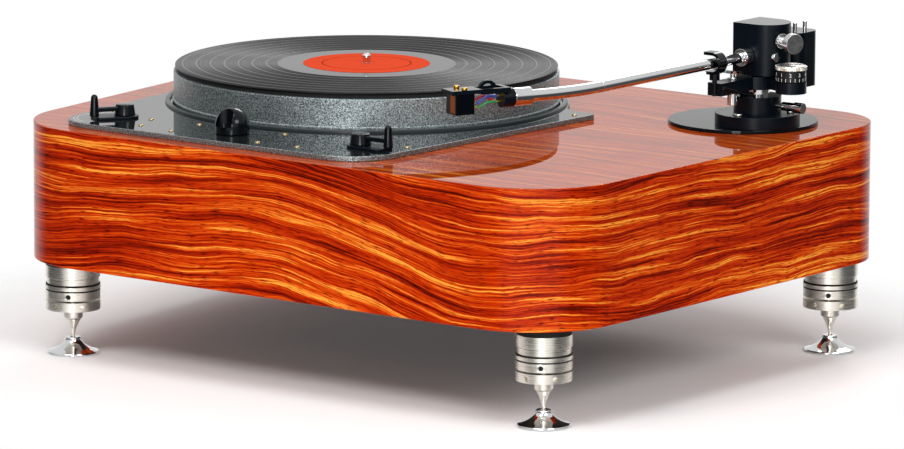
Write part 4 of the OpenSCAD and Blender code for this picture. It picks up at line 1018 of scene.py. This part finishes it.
@dataclass
class Controls:
    """Speed lever, start lever and the fine speed knob, moulded in gloss black."""

    base_z: float = PLATE_TOP + 2.3

    def lever(self, name: str, hub: Point2, heading: float, length: float) -> None:
        """Shapes one lever: hub, bar and upright finger.

        Args:
            name: CAD node that the lever replaces and body that it rides on.
            hub: Place of the hub in millimetres.
            heading: Direction of the bar in degrees.
            length: Hub to finger in millimetres.
        """
        hub_piece = Bench.lathe("hub", [(0, 8.5), (6.2, 8.5), (6.85, 8.2), (7.14, 7.6), (8.3, 0.4), (8.0, 0),
                                        (3, 0), (3, -20.5), (0, -20.5)], steps=64)
        finger = Bench.lathe("finger", [(0, 17.24), (1.05, 17.03), (1.94, 16.44), (2.53, 15.55), (2.74, 14.5),
                                        (3.75, 0.8), (3.4, 0), (0, 0)], (length, 0, 0), steps=48)
        bar = Bench.slab("bar", [(2, -3.2), (length - 1, -3.0), (length - 1, 3.0), (2, 3.2)], 3.4, 7.0)
        Bench.ease(bar, 0.9, 3)
        piece = Bench.join(f"{name}_moulded", finger, bar, hub_piece)
        Bench.settle(piece, Matrix.Translation((hub[0] * MM, hub[1] * MM, self.base_z * MM))
                     @ turned(math.radians(heading)))
        Bench.dress(piece, name, MOULDED_BLACK, "black_gloss", [name])

    def build(self) -> None:
        """Makes both levers, their bases and the knob."""
        self.lever("speed_lever", SPEED_HUB, 240.0, 25.0)
        self.lever("start_lever", START_HUB, 0.0, 26.4)
        Bench.recast("lever_bases", "lever_plates", 0.5, BLACK_ENAMEL, "black_enamel", "base")
        x, y = KNOB
        turns = [math.radians(d) for d in range(8, 91, 6)]
        dome = [(0, 19.7)] + [(13.2 * math.sin(a), 6.5 + 13.2 * math.cos(a)) for a in turns]
        knob = Bench.lathe("knob", dome + [(13.2, 6.5), (13.2, 0.5), (12.7, 0), (3, 0), (3, -18.4), (0, -18.4)],
                           (x, y, PLATE_TOP + 0.3), steps=96)
        Bench.carve(knob, *[Bench.peg((x, y + side * 11.1), 7.8, PLATE_TOP + 6.2, PLATE_TOP + 30)
                            for side in (-1, 1)])
        Bench.ease(knob, 0.5, 3, 40)
        Bench.dress(knob, "speed_knob", MOULDED_BLACK, "black_gloss", ["speed_knob"], 40)


@dataclass
class ArmBase:
    """Disc, flange, pillar, carrier, rest, lift and force dial."""

    dial: Point2 = (268.5, 106.5)
    dial_z: float = TOP + 42.3
    figures: int = 10
    facing: float = -130.0

    def build(self) -> None:
        """Dresses the base and adds the dial's scale and knurl."""
        disc = [(0, 3), (57.8, 3), (58.3, 2.8), (58.5, 2.3), (58.5, 0.4), (58.2, 0), (0, 0)]
        plate = Bench.lathe("arm_disc_turned", disc, (205.0, 133.5, TOP), steps=160)
        Bench.carve(plate, Bench.peg(ARM, POST_HOLE_R, TOP - 1, TOP + 6, 32))
        Bench.dress(plate, "base", BLACK_MIRROR, "black_enamel", ["arm_disc"])
        for row in (
                ("arm_flange", "slotted_flange", 0.7, BLACK_ENAMEL, "black_enamel", "base"),
                ("arm_pillar", "arm_column", 0.6, BLACK_ENAMEL, "black_enamel", "base"),
                ("flange_screws", "flange_bolts", 0.4, STEEL, "steel", "base"),
                ("arm_post", "chrome_post", 0.3, CHROME, "chrome", "arm_carriage"),
                ("arm_carrier", "carrier_casting", 0.6, BLACK_ENAMEL, "black_enamel", "arm_carriage"),
                ("arm_rest", "rest_hook", 0.5, MOULDED_BLACK, "black_gloss", "arm_carriage"),
                ("lift_cylinder", "lift_barrel", 0.4, CHROME, "chrome", "arm_carriage"),
                ("lift_bar", "lift_rail", 0.3, CHROME, "chrome", "lift"),
                ("cue_lever", "cue_rod", 0.3, MOULDED_BLACK, "black_gloss", "cue_lever"),
                ("thumbscrew", "clamp_screw", 0.4, CHROME, "steel", "thumbscrew")):
            Bench.recast(*row)
        self.scale()

    def scale(self) -> None:
        """Makes the numbered band and the knurled cap of the force dial."""
        x, y = self.dial
        band = [(3.05, 0), (11.4, 0), (11.7, 0.3), (11.7, 8.5), (3.05, 8.5), (3.05, 0)]
        Bench.dress(Bench.lathe("dial_band", band, (x, y, self.dial_z), steps=96), "force_dial", BLACK_SATIN,
                    "dial_black", ["force_dial"])
        cap = Bench.lathe("dial_cap", [(0, 12.6), (10.4, 12.6), (11.3, 12.2), (11.7, 11.6), (11.9, 9.0),
                                       (11.5, 8.6), (0, 8.6)], (x, y, self.dial_z), steps=96)
        spun = SpunFace("spun_steel", "#d4d1ca", 0.26, metallic=1.0, centre=(x, y, self.dial_z))
        Bench.dress(cap, "force_dial", spun, "steel")
        centre = Matrix.Translation(Vector((x, y, self.dial_z)) * MM)
        rib = Bench.ease(Bench.block("rib", (11.6, -0.3, 9.0), (12.3, 0.3, 11.7)), 0.15, 1)
        knurl = Bench.repeat("dial_knurl", rib, [centre @ turned(2 * math.pi * i / 60) for i in range(60)])
        Bench.dress(knurl, "force_dial", STEEL, "steel")
        tick = Bench.block("tick", (11.6, -0.2, 0.6), (11.74, 0.2, 3.0))
        step = 2 * math.pi / (self.figures * 2)
        start = math.radians(self.facing)
        places = [centre @ turned(start + step * i) for i in range(self.figures * 2)]
        marks = [Bench.repeat("ticks", tick, places)]
        for i in range(self.figures):
            digit = Bench.figure(str(i), 2.7)
            Bench.settle(digit, centre @ turned(start + 2 * step * i)
                         @ Matrix.Translation(Vector((11.72, 0, 4.4)) * MM))
            marks.append(digit)
        Bench.dress(Bench.join("dial_marks", *marks), "force_dial", WHITE_INK, "steel")


@dataclass
class ToneArm:
    """Bearing block, tube, counterweight and head."""

    head_at: Point2 = (213.009, -155.019)
    bend: float = 25.0
    knob_base: Point3 = (250.689, 117.257, 254.1)
    knob_turn: float = -22.0
    knob_reach: float = 17.0

    def build(self) -> None:
        """Dresses the arm's pieces."""
        for row in (
                ("arm_block", "bearing_block", 0.8, BLACK_ENAMEL, "black_enamel", "arm_yaw"),
                ("pivot_screws", "pivot_caps", 0.5, CHROME, "chrome", "arm_yaw"),
                ("side_knob", "skating_knob", 0.5, ALUMINIUM, "aluminium", "side_knob"),
                ("arm_tube", "chrome_tube", 0.0, CHROME, "chrome", "arm_pitch"),
                ("arm_collar", "tube_collar", 0.6, CHROME, "chrome", "arm_pitch"),
                ("headshell", "headshell_frame", 0.4, BLACK_ENAMEL, "black_enamel", "arm_pitch"),
                ("cartridge", "cartridge_body", 0.6, MOULDED_BLACK, "black_gloss", "arm_pitch"),
                ("cartridge_screws", "cartridge_bolts", 0.3, GOLD, "gold_plate", "arm_pitch"),
                ("collet_ring", "collet_nut", 0.5, CHROME, "chrome", "collet_ring"),
                ("counterweight", "balance_weight", 0.8, BLACK_ENAMEL, "black_enamel", "counterweight"),
                ("weight_pins", "weight_posts", 0.4, CHROME, "chrome", "counterweight")):
            piece = Bench.recast(*row)
            if BLACK_ENAMEL in row:
                Bench.cap(piece, BLACK_BUFFED)
        for node, finish in (("pivot_pin", STEEL), ("stylus", ALUMINIUM), ("contact_pins", GOLD)):
            Bench.paint_node(node, finish)
        self.head()
        self.knob_face()

    def head(self) -> None:
        """Adds the four coloured leads and the copper front of the cartridge."""
        at = Vector((*self.head_at, AXIS_Z)) * MM
        place = Matrix.Translation(at) @ turned(math.radians(-self.bend))
        for i, finish in enumerate((WIRE_WHITE, WIRE_RED, WIRE_BLUE, WIRE_GREEN)):
            first = (-2.0 if i < 2 else 2.0, 2.0 if i % 2 == 0 else -2.0)
            last = (2.4 * (i - 1.5), 2.6 - 2.6 * i)
            points = []
            for k in range(17):
                t = k / 16
                ease = t * t * (3 - 2 * t)
                arch = (4.0 - 0.9 * i) * math.sin(math.pi * t) ** 2
                points.append((first[0] + (last[0] - first[0]) * ease, -29.0 - 18.0 * t,
                               first[1] + (last[1] - first[1]) * ease + arch))
            lead = Bench.tube(f"signal_lead_{i}", points, 0.95)
            Bench.settle(lead, place)
            Bench.dress(lead, "arm_pitch", finish, "wire_sleeve", ["signal_wires"] if i == 0 else ())
        front = Bench.ease(Bench.block("cartridge_front", (-0.8, -66.8, -8.4), (5.4, -66.3, 4.8)), 0.2, 2)
        Bench.settle(front, place)
        Bench.dress(front, "arm_pitch", COPPER, "gold_plate")

    def knob_face(self) -> None:
        """Faces the skating knob with a spun aluminium disc."""
        lean = math.radians(self.knob_turn)
        out = Vector((math.cos(lean), math.sin(lean), 0))
        centre = Vector(self.knob_base) + out * self.knob_reach
        face = Bench.lathe("knob_face", [(0, 0.12), (7.0, 0.12), (7.1, 0.02), (7.1, -0.3), (0, -0.3)],
                           tuple(centre), Axis.ALONG_X, self.knob_turn, 64)
        spun = SpunFace("spun_aluminium", "#efefec", 0.46, metallic=1.0, centre=tuple(centre))
        Bench.dress(face, "side_knob", spun, "aluminium")


@dataclass
class Studio:
    """Floor, white surround, soft lamps and the camera at the photograph's angle."""

    azimuth: float = 37.228
    elevation: float = 10.032
    roll: float = 0.285
    distance: float = 5606.0
    focal_px: float = 7196.66
    shift_x: float = -0.635
    shift_y: float = -67.74

    def build(self) -> None:
        """Sets the surround, lamps, floor and camera."""
        scene = bpy.context.scene
        scene.view_settings.view_transform = "Standard"
        self.surround()
        self.floor()
        for name, at, towards, wide, tall, power in (
                ("key_softbox", (300, -2450, 2300), (0, 0, 120), 1500, 900, 38),
                ("front_softbox", (1480, -2600, 360), (-70, -100, 200), 700, 700, 20),
                ("side_softbox", (2400, -900, 1500), (100, 0, 120), 1200, 1000, 30),
                ("top_softbox", (200, -800, 2500), (0, 0, 150), 1300, 1300, 18),
                ("back_softbox", (-1050, 2360, 1750), (-70, 10, 220), 1000, 1000, 17)):
            self.lamp(name, at, towards, wide, tall, power)
        self.camera()

    def surround(self) -> None:
        """Makes a room white to the camera, behind the object and above it, and dim beside the camera."""
        world = bpy.data.worlds.new("white_surround")
        bpy.context.scene.world = world
        world.use_nodes = True
        tree = world.node_tree
        tree.nodes.clear()
        path = add(tree, "LightPath")
        az = math.radians(self.azimuth)
        where = add(tree, "TexCoord")["Generated"]
        facing = add(tree, "VectorMath", {0: where, 1: (math.sin(az), -math.cos(az), 0.0)},
                     operation="DOT_PRODUCT")["Value"]
        turn = add(tree, "MapRange", {"Value": facing, "From Min": -1.0})["Result"]
        room = add(tree, "ValToRGB", {"Fac": turn}, (
            (0.0, "#ffffff"), (0.13, "#ffffff"), (0.27, "#545454"), (0.84, "#484848"),
            (0.95, "#ffffff")))["Color"]
        height = add(tree, "SeparateXYZ", {"Vector": where})["Z"]
        above = add(tree, "MapRange", {"Value": height, "From Min": 0.04, "From Max": 0.3})["Result"]
        room = add(tree, "Mix", {"Factor": above, MIX_A: room, MIX_B: linear("#ececec")},
                   data_type="RGBA")[MIXED]
        mirrored = add(tree, "Background", {"Color": room, "Strength": 1.0})[0]
        light = add(tree, "Background", {"Color": linear("#ffffff"), "Strength": 0.34})[0]
        white = add(tree, "Background", {"Color": linear("#ffffff"), "Strength": 1.0})[0]
        seen = add(tree, "Math", {0: path["Is Camera Ray"], 1: path["Is Transmission Ray"]},
                   operation="MAXIMUM")[0]
        mixed = add(tree, "MixShader", {0: path["Is Glossy Ray"], 1: light, 2: mirrored})[0]
        mixed = add(tree, "MixShader", {0: seen, 1: mixed, 2: white})[0]
        add(tree, "OutputWorld", {"Surface": mixed})

    def floor(self) -> None:
        """Lays a pale floor that fades into the white surround and keeps the shadow."""
        Bench.clear()
        bpy.ops.mesh.primitive_plane_add(size=6.0, location=(0, 0, 0))
        plane = bpy.context.object
        plane.name = "studio_floor"
        mat = bpy.data.materials.new("white_paper_floor")
        mat.use_nodes = True
        tree = mat.node_tree
        tree.nodes.clear()
        path = add(tree, "LightPath")
        seen = add(tree, "Math", {0: path["Is Camera Ray"], 1: path["Is Glossy Ray"]}, operation="MAXIMUM")[0]
        paper = add(tree, "BsdfDiffuse", {"Color": linear("#fdfdfd")})[0]
        glow = add(tree, "Emission", {"Color": linear("#ffffff"), "Strength": 0.01})[0]
        lifted = add(tree, "AddShader", {0: paper, 1: glow})[0]
        laid = add(tree, "MixShader", {0: seen, 1: paper, 2: lifted})[0]
        where = add(tree, "TexCoord")["Object"]
        far = add(tree, "VectorMath", {0: where}, operation="LENGTH")["Value"]
        gone = add(tree, "MapRange", {"Value": far, "From Min": 0.33, "From Max": 0.52},
                   interpolation_type="SMOOTHSTEP")["Result"]
        clear = add(tree, "BsdfTransparent")[0]
        faded = add(tree, "MixShader", {0: gone, 1: laid, 2: clear})[0]
        add(tree, "OutputMaterial", {"Surface": faded})
        plane.data.materials.append(mat)

    @staticmethod
    def lamp(name: str, at: Point3, towards: Point3, wide: float, tall: float, power: float) -> None:
        """Hangs one soft lamp.

        Args:
            name: Name of the lamp.
            at: Place in millimetres.
            towards: Point that it faces, in millimetres.
            wide: Width in millimetres.
            tall: Height in millimetres.
            power: Power in watts.
        """
        data = bpy.data.lights.new(name, "AREA")
        data.shape = "RECTANGLE"
        data.size = wide * MM
        data.size_y = tall * MM
        data.energy = power
        lamp = bpy.data.objects.new(name, data)
        bpy.context.scene.collection.objects.link(lamp)
        lamp.location = Vector(at) * MM
        lamp.rotation_euler = (Vector(towards) - Vector(at)).to_track_quat("-Z", "Y").to_euler()

    def camera(self) -> None:
        """Places the camera that was fitted to the photograph."""
        az, el, roll = (math.radians(v) for v in (self.azimuth, self.elevation, self.roll))
        back = Vector((math.sin(az) * math.cos(el), -math.cos(az) * math.cos(el), math.sin(el)))
        right = Vector((math.cos(az), math.sin(az), 0))
        up = back.cross(right)
        target = right * self.shift_x + up * self.shift_y + Vector((23.5, 0, 170))
        turned_right = right * math.cos(roll) + up * math.sin(roll)
        turned_up = up * math.cos(roll) - right * math.sin(roll)
        data = bpy.data.cameras.new("photo_camera")
        data.sensor_width = SENSOR
        data.lens = self.focal_px / PHOTO_W * SENSOR
        data.clip_end = 50.0
        cam = bpy.data.objects.new("photo_camera", data)
        bpy.context.scene.collection.objects.link(cam)
        pose = Matrix((turned_right, turned_up, back)).transposed().to_4x4()
        pose.translation = (target + back * self.distance) * MM
        cam.matrix_world = pose
        bpy.context.scene.camera = cam


def main() -> None:
    """Builds the studio and every sub-assembly in order."""
    logging.basicConfig(level=logging.INFO, format="%(name)s: %(message)s")
    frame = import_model()
    Bench.nodes = frame["nodes"]
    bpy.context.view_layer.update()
    Studio().build()
    for assembly in (Plinth(), Feet(), Chassis(), PlatterStack(), Controls(), ArmBase(), ToneArm()):
        assembly.build()
        LOG.info("%s built", type(assembly).__name__)


if __name__ == "__main__":
    main()
